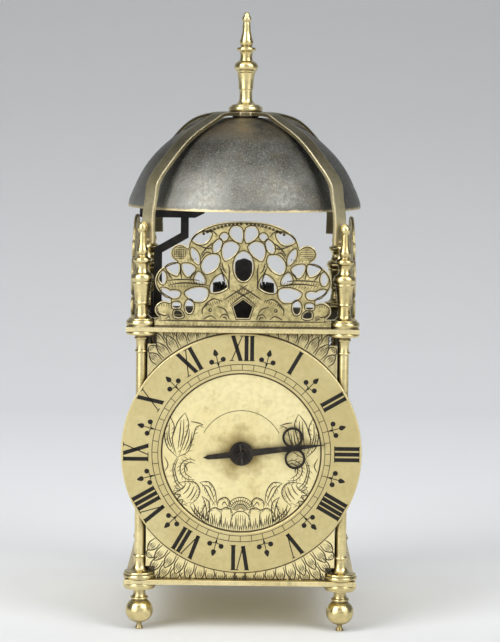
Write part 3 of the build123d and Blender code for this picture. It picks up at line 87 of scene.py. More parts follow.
class Finish(Nodes):
    """One procedural material. Sizes and places are in metres."""

    def __init__(self, name):
        self.material = bpy.data.materials.new(name)
        self.material.use_nodes = True
        super().__init__(self.material.node_tree)
        self.shader = self.tree.nodes["Principled BSDF"]
        self.place = self.node("ShaderNodeTexCoord").outputs["Object"]
        self.rounded = None

    def noise(self, size, detail=4.0, roughness=0.55, place=None, distortion=0.0):
        """Soft noise whose features measure about size."""
        return self.node(
            "ShaderNodeTexNoise",
            {
                "Vector": place or self.place,
                "Scale": 1 / size,
                "Detail": detail,
                "Roughness": roughness,
                "Distortion": distortion,
            },
        ).outputs["Fac"]

    def stretched(self, x, y, z):
        """The surface's place with each axis scaled, for grain that runs one way."""
        return self.node(
            "ShaderNodeMapping", {"Vector": self.place, "Scale": (x, y, z)}
        ).outputs["Vector"]

    def drift(self, noise, low, high):
        """A noise spread over low..high."""
        return self.span(noise, *NOISE_RANGE, low, high)

    def ragged(self, value, size, reach, detail=4.0):
        """A length made uneven, by reach either way."""
        return self.plus(value, self.drift(self.noise(size, detail), -reach, reach))

    def away(self, centre):
        """Distance of the surface from a place."""
        return self.node(
            "ShaderNodeVectorMath", {0: self.place, 1: centre}, operation="DISTANCE"
        ).outputs["Value"]

    def blend(self, share, first, second):
        """Colour that goes from first to second as share goes from 0 to 1."""
        mixed = self.node("ShaderNodeMix", {0: share}, data_type="RGBA")
        for socket, colour in ((6, first), (7, second)):
            if isinstance(colour, bpy.types.NodeSocket):
                self.tree.links.new(colour, mixed.inputs[socket])
            else:
                mixed.inputs[socket].default_value = (*colour, 1.0)
        return mixed.outputs[2]

    def tinted(self, metal, mask, strength, colour):
        """Metal drawn towards a colour where the mask is 1, by strength at most."""
        return self.blend(self.times(mask, strength), metal, colour)

    def recess(self, reach):
        """1 in corners and between parts, 0 on open surfaces."""
        occlusion = self.node("ShaderNodeAmbientOcclusion", {"Distance": reach}, samples=6)
        return self.span(occlusion.outputs["AO"], 0.35, 0.95, 1.0, 0.0)

    def edges(self, radius):
        """1 along outer edges, 0 away from them; the edges then also look rounded."""
        self.rounded = self.node(
            "ShaderNodeBevel", {"Radius": radius}, samples=4).outputs["Normal"]
        flat = self.node("ShaderNodeNewGeometry").outputs["Normal"]
        agree = self.node("ShaderNodeVectorMath", {0: self.rounded, 1: flat},
                          operation="DOT_PRODUCT").outputs["Value"]
        return self.span(agree, 0.90, 0.99, 1.0, 0.0)

    def relief(self, *layers):
        """Bump from (height, depth) layers, one on another."""
        normal = self.rounded
        for height, depth in layers:
            inputs = {"Height": height, "Distance": depth, "Strength": 1.0}
            if normal:
                inputs["Normal"] = normal
            normal = self.node("ShaderNodeBump", inputs).outputs["Normal"]
        self.drive("Normal", normal)

    def drive(self, socket, value):
        self.tree.links.new(value, self.shader.inputs[socket])

    def fixed(self, **sockets):
        for name, value in sockets.items():
            self.shader.inputs[name.replace("_", " ")].default_value = value


# ---------------------------------------------------------------- finishes

# What wear leaves on brass, with painted shade and painted highlight among it.
GRIME_AND_SHADE = (0.070, 0.045, 0.018)       # grime and painted shade, in recesses
RUBBED_AND_SHEEN = (0.94, 0.83, 0.54)         # on edges: rubbed wear and painted highlight
TOP_SHADE = (0.030, 0.023, 0.013)        # painted shade on faces that look up
OLD_TARNISH = (0.20, 0.155, 0.07)   # past the chapter ring
DARKENED = (0.085, 0.070, 0.035)       # darker towards one end; towards the back of the straps, painted shade
OIL_STAIN = (0.30, 0.20, 0.055)     # round the hand's arbor


def brass_finish(name, bright, dull, tarnish, gloss, grain=(1, 1, 1), *, spots=0.55,
                 mottle=0.25, grime_and_shade=0.8, edge=0.0006, darkenings=(), stain_at=None,
                 top_shade=0.0, outside=None):
    """Worn polished brass: tone that drifts, tarnish in patches, grime and painted shade in
    recesses, edges paler from rubbed wear and painted highlight, painted shade on faces that look
    up.

    Each darkening is (axis, start, end, share): a darker colour that grows along an axis from
    start to end.
    outside is (centre, radius, low, high): tarnish beyond the radius, more of it towards high.
    """
    look = Finish(name)
    tone = look.span(look.noise(0.030, 5.0, 0.6), 0.35, 0.65)
    speck = look.span(look.noise(0.0032, 3.0, 0.6), 0.42, 0.62)
    patches = look.span(look.noise(0.016, 6.0, 0.7, distortion=0.6), spots, spots + 0.16)
    corners = look.recess(0.007)
    worn_and_sheen = look.edges(edge)
    metal = look.tinted(bright, tone, 0.75, dull)
    metal = look.tinted(metal, speck, mottle, look.blend(0.5, dull, tarnish))
    metal = look.tinted(metal, patches, 0.6, tarnish)
    # Painted shade on faces that look up: darker, less metallic and rougher there.
    if top_shade:
        facing = look.node("ShaderNodeNewGeometry").outputs["Normal"]
        shaded_top = look.span(look.parts(facing)["Z"], 0.8, 0.95, 0.0, top_shade)
        metal = look.blend(shaded_top, metal, TOP_SHADE)
    if outside:
        centre, radius, low, high = outside
        beyond = look.span(look.away(centre), radius, radius + 0.002)
        higher = look.span(look.parts(look.place)["Z"], low, high, 0.0, 0.52)
        speckled = look.span(speck, 0.0, 1.0, 0.6, 1.0)
        metal = look.tinted(metal, look.times(beyond, higher), speckled, OLD_TARNISH)
    for axis, start, end, share in darkenings:
        along = look.ragged(look.parts(look.place)[axis], 0.008, 0.004, 5.0)
        metal = look.blend(look.span(along, start, end, 0.0, share), metal, DARKENED)
    if stain_at:
        off = look.ragged(look.away(stain_at), 0.009, 0.005)
        metal = look.blend(look.span(off, 0.008, 0.019, 0.75, 0.0), metal, OIL_STAIN)
    # Grime and painted shade in recesses, taken from ambient occlusion.
    metal = look.tinted(metal, corners, grime_and_shade, GRIME_AND_SHADE)
    # Paler edges: rubbed wear and a painted highlight.
    look.drive("Base Color", look.tinted(metal, worn_and_sheen, 0.7, RUBBED_AND_SHEEN))
    scratches = look.noise(0.0016, 2.0, 0.6, look.stretched(*grain))
    rough = look.drift(scratches, gloss, gloss + 0.12)
    rough = look.plus(rough, look.times(patches, 0.15))
    rough = look.plus(rough, look.times(corners, 0.25))
    look.fixed(Metallic=1.0)
    if top_shade:
        rough = look.plus(rough, look.times(shaded_top, 0.5))
        look.drive("Metallic", look.combine("SUBTRACT", 1.0, shaded_top))
        look.fixed(Specular_IOR_Level=0.2)
    look.drive("Roughness", rough)
    look.relief((scratches, 0.00004), (look.noise(0.012, 2.0), 0.00025))
    return look.material


def mottled_bell():
    """Old bell metal: dark grey and brown with fine pale wear, a painted highlight low on the
    skirt and strongest on the left, golden only at the lip.
    """
    look = Finish("bell_patina")
    look.edges(0.0005)
    low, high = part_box("bell")
    clouds = look.span(look.noise(0.020, 6.0, 0.6), 0.38, 0.62)
    stains = look.span(look.noise(0.012, 7.0, 0.7), 0.48, 0.66)
    specks = look.span(look.noise(0.0009, 3.0, 0.8), 0.55, 0.63)
    pits = look.span(look.noise(0.0022, 4.0, 0.75), 0.50, 0.60)
    across, height = look.parts(look.place)["X"], look.parts(look.place)["Z"]
    skirt_highlight = look.span(height, low.z + 0.004, low.z + 0.034, 0.75, 0.0)
    highlight_side = look.span(across, low.x + 0.01, low.x + 0.10, 1.0, 0.25)
    crown = look.span(height, high.z - 0.016, high.z - 0.002, 0.0, 0.75)
    lip = look.span(look.ragged(height, 0.006, 0.0006), low.z + 0.0008, low.z + 0.0018, 0.85, 0.0)
    metal = look.blend(clouds, (0.066, 0.065, 0.057), (0.150, 0.152, 0.138))
    metal = look.tinted(metal, stains, 0.5, (0.15, 0.115, 0.070))
    metal = look.tinted(metal, pits, 0.45, (0.075, 0.068, 0.055))
    # Painted highlight: the skirt paler towards the rim, most on the left side.
    metal = look.tinted(metal, skirt_highlight, highlight_side, (0.36, 0.365, 0.33))
    metal = look.tinted(metal, crown, clouds, (0.38, 0.28, 0.15))
    metal = look.tinted(metal, specks, 0.60, (0.42, 0.40, 0.33))
    look.drive("Base Color", look.blend(lip, metal, (0.80, 0.66, 0.38)))
    look.drive("Roughness", look.drift(look.noise(0.003, 6.0, 0.7), 0.34, 0.50))
    look.fixed(Metallic=1.0)
    look.relief((specks, 0.00004), (pits, 0.00004), (look.noise(0.022, 2.0), 0.0003))
    return look.material


def dark_metal(name, base, other, rust, gloss, metallic=0.85):
    """Forged iron or steel with a little rust showing."""
    look = Finish(name)
    clouds = look.span(look.noise(0.008, 5.0, 0.65), 0.35, 0.65)
    rusty = look.span(look.noise(0.005, 6.0, 0.7, distortion=0.5), 0.58, 0.72)
    look.drive("Base Color", look.tinted(look.blend(clouds, base, other), rusty, 0.7, rust))
    look.drive("Roughness", look.drift(look.noise(0.002, 4.0), gloss, gloss + 0.2))
    look.fixed(Metallic=metallic)
    look.relief((look.noise(0.0025, 4.0), 0.00010), (look.noise(0.009, 2.0), 0.0002))
    return look.material


def wax_finish():
    """Black wax in the cut numerals, a little broken."""
    look = Finish("black_wax")
    crumbs = look.span(look.noise(0.0016, 4.0, 0.7), 0.4, 0.7)
    look.drive("Base Color", look.blend(crumbs, (0.006, 0.005, 0.004), (0.022, 0.017, 0.011)))
    look.drive("Roughness", look.span(crumbs, 0.0, 1.0, 0.6, 0.8))
    look.fixed(Specular_IOR_Level=0.25)
    look.relief((crumbs, 0.00005))
    return look.material


def cut_finish():
    """Engraved line: brass shadowed by old polish and soot; the same colour also paints the shadow
    lines along the chapter ring.
    """
    look = Finish("engraved_line_and_shadow")
    soot = look.span(look.noise(0.003, 4.0, 0.6), 0.35, 0.65)
    look.drive("Base Color", look.blend(soot, (0.024, 0.017, 0.007), (0.085, 0.062, 0.027)))
    look.drive("Roughness", look.span(soot, 0.0, 1.0, 0.5, 0.7))
    look.fixed(Metallic=0.3)
    return look.material


ring_low, ring_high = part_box("chapter_ring")
dial_low, dial_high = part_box("dial_plate")
clock_x = (ring_low.x + ring_high.x) / 2
clock_y = (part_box("top_plate")[0].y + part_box("top_plate")[1].y) / 2
dial_z = (ring_low.z + ring_high.z) / 2
ring_radius = (ring_high.x - ring_low.x) / 2 / MM
arbor_hole = (clock_x, dial_low.y, dial_z)
strap_low, strap_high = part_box("bell_straps")
strap_mid = (strap_low.y + strap_high.y) / 2

BRIGHT = (0.88, 0.75, 0.40)
DULL = (0.58, 0.46, 0.195)
GREEN = (0.22, 0.20, 0.09)
# Scratches are fine across the axes with a large scale and run along the others.
LEVEL_GRAIN, TURNED_GRAIN, SIDEWAYS_GRAIN = (1, 1, 10), (1, 1, 12), (1, 12, 12)

finishes = {
    "turned": brass_finish("turned_brass", BRIGHT, DULL, GREEN, 0.13, TURNED_GRAIN),
    "plate": brass_finish(
        "plate_brass", (0.94, 0.81, 0.45), (0.78, 0.64, 0.31), GREEN, 0.24, SIDEWAYS_GRAIN,
    ),
    "ring": brass_finish(
        "ring_brass", (0.72, 0.615, 0.315), (0.61, 0.50, 0.225), (0.42, 0.33, 0.145), 0.35,
        LEVEL_GRAIN, spots=0.60, grime_and_shade=0.5, edge=0.0009,
    ),
    "dial": brass_finish(
        "dial_brass", (0.97, 0.86, 0.49), (0.86, 0.73, 0.36), (0.40, 0.31, 0.12), 0.36,
        LEVEL_GRAIN, spots=0.57, grime_and_shade=0.45, stain_at=arbor_hole,
        outside=(arbor_hole, ring_radius * MM - 0.001, dial_z - 0.03, dial_z + 0.04),
    ),
    "fret": brass_finish(
        "fret_brass", (0.96, 0.82, 0.42), (0.54, 0.44, 0.19), (0.17, 0.15, 0.065), 0.28,
        spots=0.47, mottle=0.7, grime_and_shade=0.6, edge=0.0014,
    ),
    # The top plate: painted shade on its faces that look up.
    "deck": brass_finish(
        "deck_brass", (0.96, 0.83, 0.46), (0.86, 0.71, 0.36), GREEN, 0.24, SIDEWAYS_GRAIN,
        grime_and_shade=0.4, top_shade=0.95,
    ),
    "strap": brass_finish(
        "strap_brass", (0.94, 0.84, 0.54), (0.76, 0.65, 0.37), GREEN, 0.30, SIDEWAYS_GRAIN,
        grime_and_shade=0.4, edge=0.0012,
        # Darker towards the top, and painted shade towards the back, where the rear straps' inner
        # faces are seen.
        darkenings=(("Z", strap_high.z - 0.070, strap_high.z - 0.018, 0.88),
               ("Y", strap_mid - 0.010, strap_mid + 0.012, 0.85)),
    ),
    "wheel": brass_finish("wheel_brass", (0.62, 0.46, 0.2), (0.40, 0.28, 0.11), GREEN, 0.3),
    "bell": mottled_bell(),
    "iron": dark_metal("forged_iron", (0.030, 0.030, 0.031), (0.07, 0.066, 0.06),
                       (0.10, 0.055, 0.028), 0.42),
    "steel": dark_metal("worn_steel", (0.28, 0.27, 0.255), (0.16, 0.15, 0.14),
                        (0.12, 0.075, 0.045), 0.30, 1.0),
    "browned": dark_metal("browned_steel", (0.022, 0.020, 0.018), (0.050, 0.042, 0.034),
                          (0.10, 0.075, 0.05), 0.34, 0.9),
    "wax": wax_finish(),
    "cut": cut_finish(),
}

# What each finish is on, by a node's name or its first word. The rest are wheels.
FINISHED = {
    "turned": ("foot", "pillar", "finial", "top_finial", "bell_nut"),
    "plate": ("bottom_plate", "door"),
    "ring": ("chapter_ring",),
    "dial": ("dial_plate",),
    "fret": ("fret",),
    "deck": ("top_plate",),
    "strap": ("bell_straps",),
    "bell": ("bell",),
    "iron": ("hammer", "hammer_spring", "hammer_stop", "hanging_hoop", "spurs", "verge",
             "pendulum_rod", "lifting_lever", "bell_washer", "countwheel_stud", "hand_pin",
             "verge_front_cock", "verge_back_cock", "front_bar", "middle_bar", "rear_bar",
             "back_plate", "crown_wheel"),
    "steel": ("chapter_ring_pins", "plate_screws"),
    "browned": ("hand", "hand_arbor"),
}
finish_of = {name: finish for finish, names in FINISHED.items() for name in names}
for name, node in nodes.items():
    finish = finish_of.get(name) or finish_of.get(name.split("_")[0], "wheel")
    for slot in node.material_slots:
        slot.material = finishes[finish]
    if not node.material_slots:
        node.data.materials.append(finishes[finish])

# ---------------------------------------------------------------- fuller bell

# How much wider the bell and its straps stand, by height over the rim as a share of the bell's.
WIDER = ((0.0, 1.0), (0.12, 1.0), (0.2, 1.015), (0.33, 1.045), (0.5, 1.052), (0.84, 1.05),
         (0.95, 1.035), (1.10, 1.0))
CURVE_GAIN = 5  # spreads the small widenings over the curve node's range


def fuller(names):
    """Widen the named pieces about the bell's axis with one shared geometry modifier."""
    low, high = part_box("bell")
    tree = bpy.data.node_groups.new("fuller_bell", "GeometryNodeTree")
    for way in ("INPUT", "OUTPUT"):
        tree.interface.new_socket("Geometry", in_out=way, socket_type="NodeSocketGeometry")
    group = Nodes(tree)
    parts = group.parts(group.node("GeometryNodeInputPosition").outputs[0])
    top = WIDER[-1][0]
    share = group.span(parts["Z"], low.z, low.z + (high.z - low.z) * top)
    curve = group.node("ShaderNodeFloatCurve", {"Value": share})
    points = curve.mapping.curves[0].points
    stops = [(at / top, (wide - 1.0) * CURVE_GAIN) for at, wide in WIDER]
    points[0].location, points[-1].location = stops[0], stops[-1]
    for stop in stops[1:-1]:
        points.new(*stop)
    curve.mapping.update()
    offset = group.node("ShaderNodeCombineXYZ")
    for axis, centre in (("X", (low.x + high.x) / 2), ("Y", (low.y + high.y) / 2)):
        away = group.combine("SUBTRACT", parts[axis], centre)
        wider = group.times(group.times(away, curve.outputs[0]), 1 / CURVE_GAIN)
        tree.links.new(wider, offset.inputs[axis])
    moved = group.node("GeometryNodeSetPosition", {
        "Geometry": group.node("NodeGroupInput").outputs[0], "Offset": offset.outputs[0]})
    group.node("NodeGroupOutput", {0: moved.outputs[0]})
    for name in names:
        nodes[name].modifiers.new("fuller_bell", "NODES").node_group = tree


fuller(("bell", "bell_straps"))

# ---------------------------------------------------------------- engraving

CUT = 0.05 * MM  # how far a filled cut stands out of the surface


def through(points, steps=6):
    """A smooth run of points through the given ones."""
    if len(points) < 3:
        return points
    ends = [points[0], *points, points[-1]]
    run = []
    for a, b, c, d in zip(ends, ends[1:], ends[2:], ends[3:]):
        for step in range(steps):
            t = step / steps
            run.append(tuple(
                0.5 * (2 * q + (r - p) * t + (2 * p - 5 * q + 4 * r - s) * t**2
                       + (3 * q - p - 3 * r + s) * t**3)
                for p, q, r, s in zip(a, b, c, d)
            ))
    return [*run, points[-1]]


def heading(start, end):
    """The direction from start to end, one long."""
    dx, dz = end[0] - start[0], end[1] - start[1]
    length = math.hypot(dx, dz) or 1.0
    return dx / length, dz / length


def turned(across, along, turn, x=0.0, z=0.0):
    """The point along a ray from (x, z) at turn from upright, and across to its right."""
    return (x + across * math.cos(turn) + along * math.sin(turn),
            z - across * math.sin(turn) + along * math.cos(turn))


def mirrored(side, points):
    """The points on the right for side 1, on the left for side -1."""
    return [(side * x, z) for x, z in points]


class Engraving:
    """Flat closed strokes on an upright face, in millimetres right of and above its origin."""

    def __init__(self, origin, right=(1, 0, 0)):
        self.origin, self.right = Vector(origin), Vector(right)
        self.out = self.right.cross(UP)
        self.points, self.faces = [], []

    def add(self, outline):
        """A closed prism over outline pairs: (left, right) from end to end."""
        base = len(self.points)
        last = base + 4 * (len(outline) - 1)
        for pair in outline:
            for across, up in pair:
                at = self.origin + self.right * across * MM + Vector((0, 0, up * MM))
                self.points += [at + self.out * CUT, at - self.out * CUT]
        for at in range(base, last, 4):
            on = at + 4
            self.faces += [
                (at, at + 2, on + 2, on), (at + 1, on + 1, on + 3, at + 3),
                (at, on, on + 1, at + 1), (at + 2, at + 3, on + 3, on + 2)]
        self.faces += [(base, base + 1, base + 3, base + 2),
                       (last, last + 2, last + 3, last + 1)]

    def line(self, points, width, ends, smooth=True):
        """A cut along the points that swells to its middle from ends, a share of the width."""
        run = through(points) if smooth else list(points)
        if len(run) == 2:
            run.insert(1, tuple((a + b) / 2 for a, b in zip(*run)))
        pairs = []
        for k, (x, z) in enumerate(run):
            dx, dz = heading(run[max(k - 1, 0)], run[min(k + 1, len(run) - 1)])
            share = math.sin(math.pi * k / (len(run) - 1))
            half = width / 2 * (ends + (1 - ends) * share)
            pairs.append(((x - dz * half, z + dx * half), (x + dz * half, z - dx * half)))
        self.add(pairs)

    def straight(self, points, width, ends):
        self.line(points, width, ends, smooth=False)

    def bar(self, start, end, width):
        """A straight stroke of one width."""
        self.straight([start, end], width, 1.0)

    def dot(self, x, z, radius, point=0.0, turn=0.0):
        """A round cut, drawn out to a point at angle turn from upright."""
        pairs = []
        slices, least, taper = 10, 0.02, 0.45
        for k in range(slices + 1):
            angle = math.pi * k / slices
            half = max(radius * math.sin(angle), least)
            along = -radius * math.cos(angle)
            if along > 0 and point:
                along *= 1 + point
                half *= 1 - taper * (along / (radius * (1 + point)))
            pairs.append((turned(-half, along, turn, x, z), turned(half, along, turn, x, z)))
        self.add(pairs)

    def ring(self, radius, width, start=0.0, end=2 * math.pi, steps=96):
        """A circle or an arc, angles clockwise from the top."""
        pairs = []
        for k in range(steps + 1):
            a = start + (end - start) * k / steps
            pairs.append((turned(0, radius - width / 2, a), turned(0, radius + width / 2, a)))
        self.add(pairs)

    def piece(self, name, finish, node):
        mesh = bpy.data.meshes.new(name)
        mesh.from_pydata(self.points, [], self.faces)
        mesh.update()
        mesh.materials.append(finishes[finish])
        made = bpy.data.objects.new(name, mesh)
        bpy.context.scene.collection.objects.link(made)
        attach(made, node)


# Numerals, feet to the centre.
NUMERAL_FOOT, NUMERAL_HEAD = 59.0, ring_radius - 1.7
BAR_WIDTH, THIN_WIDTH, SERIF_WIDTH = 2.5, 0.62, 0.5
LETTER_WIDTH = {"I": 2.35, "V": 7.6, "X": 7.4}
LETTER_GAP, TIGHT_GAP = 1.2, 0.85
HOURS = ("XII", "I", "II", "III", "IIII", "V", "VI", "VII", "VIII", "IX", "X", "XI")

# Half hour marks, three dots on stems: across, out, how pointed.
TREFOIL = ((-3.75, 60.8, 0.0), (3.75, 60.8, 0.0), (0.0, 65.4, 0.75))
TREFOIL_DOT, STEM_FOOT, STEM_FORK, STEM_WIDTH = 1.6, 56.8, 59.5, 0.55

wax = Engraving((clock_x, ring_low.y, dial_z))


def numeral(letters, turn):
    """One hour's letters, centred on the ray at turn."""
    def stroke(start, end, width):
        wax.bar(turned(*start, turn), turned(*end, turn), width)

    def serif(start, end, radius):
        stroke((start, radius), (end, radius), SERIF_WIDTH)

    gap = TIGHT_GAP if letters == "IIII" else LETTER_GAP
    at = -(sum(LETTER_WIDTH[c] for c in letters) + gap * (len(letters) - 1)) / 2
    inset = BAR_WIDTH / 2
    foot, head = NUMERAL_FOOT, NUMERAL_HEAD
    for letter in letters:
        wide = LETTER_WIDTH[letter]
        left, right, middle = at, at + wide, at + wide / 2
        if letter == "I":
            stroke((middle, foot), (middle, head), BAR_WIDTH)
            serif(left - 0.5, right + 0.5, foot)
            serif(left - 0.4, right + 0.4, head)
        if letter == "V":
            stroke((left + inset, head), (middle, foot + 0.3), BAR_WIDTH)
            stroke((right, head), (middle, foot + 0.3), THIN_WIDTH)
            serif(left - 0.3, left + 2.9, head)
            serif(right - 1.1, right + 0.9, head)
        if letter == "X":
            stroke((left + inset, head), (right - inset, foot), BAR_WIDTH)
            stroke((right - 0.4, head), (left + 0.4, foot), THIN_WIDTH)
            for x, radius in ((left + inset, head), (right - inset, foot),
                              (right - 0.6, head), (left + 0.6, foot)):
                serif(x - 1.4, x + 1.4, radius)
        at += wide + gap


for hour, letters in enumerate(HOURS):
    numeral(letters, math.radians(30 * hour))
    turn = math.radians(30 * hour + 15)
    for across, radius, point in TREFOIL:
        wax.dot(*turned(across, radius, turn), TREFOIL_DOT, point, turn)
        wax.line([turned(0, STEM_FOOT, turn), turned(across * 0.18, STEM_FORK, turn),
                  turned(across * 0.7, radius - 1.2, turn)], STEM_WIDTH, 0.7)
wax.piece("numerals", "wax", "frame")

# Quarter hour track.
TRACK_IN, TRACK_OUT, QUARTERS = 52.9, 56.6, 48
track = Engraving((clock_x, ring_low.y, dial_z))
track.ring(TRACK_IN, 0.38)
track.ring(TRACK_OUT, 0.45)
for k in range(QUARTERS):
    turn = 2 * math.pi * k / QUARTERS
    track.bar(turned(0, TRACK_IN, turn), turned(0, TRACK_OUT, turn), 0.42)
track.piece("quarter_track", "cut", "frame")

# Flowers round the dial centre. The shapes are drawn for the left and mirrored.
RING_INNER = 51.0
ARC_RADIUS, ARC_REACH = 27.0, math.radians(62)
TULIP = (
    [(-40.5, -3.1), (-47.0, 3.6), (-48.6, 13.0), (-46.2, 24.2)],
    [(-46.2, 24.2), (-42.6, 16.5), (-43.8, 8.0), (-41.2, -1.5)],
    [(-43.2, 10.5), (-40.6, 19.0), (-35.9, 25.2)],
    [(-35.9, 25.2), (-33.5, 18.0), (-36.0, 8.0), (-39.5, -2.2)],
    [(-40.5, -3.1), (-33.8, 0.6), (-30.6, 9.6), (-28.6, 16.0), (-24.2, 17.6)],
    [(-24.2, 17.6), (-28.2, 19.0), (-32.2, 19.6)],
    [(-45.6, 19.0), (-45.8, 10.0), (-43.0, 1.5)],
    [(-47.2, 14.0), (-46.8, 8.0), (-44.8, 3.0)],
    [(-38.4, 20.5), (-39.0, 12.0), (-40.2, 2.0)],
    [(-36.6, 21.0), (-36.9, 12.0), (-38.8, 3.0)],
    [(-33.0, 15.0), (-33.8, 8.0), (-36.8, 1.0)],
    [(-31.2, 13.0), (-32.4, 6.0), (-35.2, 0.5)],
)
STALK = (
    [(-40.6, -3.2), (-43.2, -10.5), (-41.2, -19.5), (-37.0, -24.0)],
    [(-39.8, -3.4), (-42.0, -10.5), (-40.0, -18.5), (-36.2, -22.0)],
    [(-28.8, -5.4), (-33.6, -4.4), (-38.0, -7.6), (-38.4, -12.8), (-34.6, -17.0), (-29.6, -17.4)],
    [(-29.4, -7.0), (-33.0, -6.6), (-35.6, -9.0), (-35.2, -13.4), (-31.2, -16.4)],
    [(-36.4, -7.2), (-34.4, -10.2), (-34.4, -12.4)],
    [(-48.6, -3.0), (-46.4, -8.0), (-48.2, -12.0)],
)
DAISY = (
    [(-39.8, -19.6), (-34.0, -18.6), (-28.6, -19.6), (-26.0, -24.4), (-27.6, -29.4),
     (-32.2, -33.6)],
    [(-39.8, -19.6), (-41.6, -22.6), (-38.8, -24.0), (-42.0, -26.6), (-38.4, -27.2),
     (-40.4, -30.6), (-36.8, -30.4), (-37.2, -33.6), (-33.6, -32.4)],
    [(-31.8, -19.6), (-33.8, -24.0), (-36.6, -26.8)],
    [(-29.6, -21.4), (-31.4, -26.0), (-34.4, -29.6)],
    [(-34.8, -19.6), (-36.4, -22.6), (-38.6, -24.0)],
    [(-27.8, -23.6), (-29.6, -27.6), (-32.0, -31.0)],
)
LEAF = (
    [(-26.2, -19.2), (-20.4, -18.8), (-16.4, -24.4), (-15.2, -33.4)],
    [(-26.2, -19.2), (-23.0, -22.0), (-20.0, -27.6), (-16.2, -33.8)],
    [(-23.2, -20.8), (-19.8, -22.6), (-16.6, -30.6)],
    [(-24.6, -28.0), (-22.6, -33.0), (-24.6, -38.8), (-20.8, -43.6)],
    [(-24.6, -28.0), (-20.2, -31.6), (-19.8, -38.0), (-20.8, -43.6)],
    [(-23.0, -30.6), (-21.8, -36.0), (-21.6, -41.0)],
    [(-32.0, -34.0), (-28.6, -39.4), (-21.4, -45.6)],
    [(-30.0, -32.6), (-27.6, -37.6), (-21.8, -43.4)],
)
PETALS = (
    [(-14.6, -35.0), (-14.2, -30.6), (-9.8, -28.6), (-6.6, -31.8), (-7.6, -35.6)],
    [(-11.8, -33.6), (-10.4, -31.4), (-8.6, -33.8)],
    [(-20.4, -45.2), (-21.0, -38.6), (-16.8, -35.2), (-12.6, -36.4), (-9.2, -35.0),
     (-5.6, -37.2), (-5.4, -43.0)],
    [(-18.6, -38.6), (-17.6, -42.4), (-18.4, -46.4)],
    [(-12.6, -37.0), (-12.2, -41.8), (-13.4, -47.4)],
)
GRASS_BLADES, GRASS_START, GRASS_PITCH, GRASS_RADIUS = 26, 0.8, 1.15, 50.2
FAN_CENTRE, FAN_RADII, FAN_HUB, FAN_RIBS, FAN_ANGLE = (0.0, -37.4), (9.0, 6.8, 4.6), 1.8, 15, 75
BUD = [(-5.6, -47.6), (-5.8, -42.0), (-3.2, -38.2), (0.0, -37.4), (3.2, -38.2),
       (5.8, -42.0), (5.6, -47.6)]

flowers = Engraving((clock_x, dial_low.y, dial_z))
flowers.ring(ARC_RADIUS, 0.4, -ARC_REACH, ARC_REACH, 40)
# A painted shadow line on the plate just inside the chapter ring.
flowers.ring(RING_INNER - 0.55, 0.9)


def shade(points, side):
    """Short leaning cuts along one side of a stroke."""
    run = through(points, 5)
    for k in range(3, len(run) - 2, 2):
        dx, dz = heading(run[k - 1], run[k + 1])
        reach = 1.9 + 0.7 * (k % 3)
        flowers.straight([run[k], (run[k][0] + (0.75 * dx - 0.65 * side * dz) * reach,
                                   run[k][1] + (0.75 * dz + 0.65 * side * dx) * reach)],
                         0.38, 0.1)


for side in (-1, 1):
    for shape in (TULIP, STALK, DAISY, LEAF, PETALS):
        for points in shape:
            flowers.line(mirrored(-side, points), 0.72, 0.3)
            if len(points) > 3:
                shade(mirrored(-side, points), side)
    for k in range(GRASS_BLADES):
        x = GRASS_START + GRASS_PITCH * k
        foot = -math.sqrt(GRASS_RADIUS**2 - x**2)
        blade = [(x, foot + 0.2), (x - 0.5, foot + 4.0 + 1.9 * (k % 3))]
        flowers.straight(mirrored(side, blade), 0.8, 0.2)
for radius in FAN_RADII:
    flowers.line([turned(0, radius, a / 4, *FAN_CENTRE) for a in range(-5, 6)], 0.55, 0.5)
for k in range(FAN_RIBS):
    a = math.radians(-FAN_ANGLE + 2 * FAN_ANGLE * k / (FAN_RIBS - 1))
    flowers.straight([turned(0, r, a, *FAN_CENTRE) for r in (FAN_HUB, FAN_RADII[0])], 0.45, 0.5)
flowers.line(BUD, 0.6, 0.4)
for x in (-3.4, -1.7, 0.0, 1.7, 3.4):
    flowers.straight([(x * 0.8, -39.4), (x, -46.0)], 0.5, 0.2)

# Acanthus leaves in the corners of the dial plate, in rows that spread from the ring, and a
# painted shadow along the ring's edge in each corner.
plate_half = (dial_high.x - dial_low.x) / 2 / MM
plate_up = (dial_high.z - dial_z) / MM
plate_down = (dial_z - dial_low.z) / MM
ACANTHUS_ROWS, ACANTHUS_START, ACANTHUS_ROW_STEP = 3, ring_radius + 1.2, 7.5
LOBE_PITCH, LOBE_HALF, LOBE_LONGEST, LOBE_SHORTEST = 6.4, 2.9, 11.0, 2.5
PLATE_MARGIN = 1.0
RING_SHADOW_GAP, RING_SHADOW_MARGIN, RING_SHADOW_STEPS = 0.35, 0.6, 24


def acanthus_lobe(place, length):
    """Outline, side veins and middle vein of one lobe."""
    for way in (-LOBE_HALF, LOBE_HALF):
        flowers.line([place(way * 0.8, 0), place(way, length * 0.45),
                      place(way * 0.55, length * 0.8), place(0, length)], 0.85, 0.4)
        for share, start in ((0.8, 0.45), (0.5, 0.62)):
            flowers.line([place(way * share * 0.8, length * (1.02 - 0.4 * share)),
                          place(way * share * 0.45, length * start * 0.6)], 0.5, 0.15)
    flowers.line([place(0, length * 0.95), place(0, length * 0.25)], 0.5, 0.2)


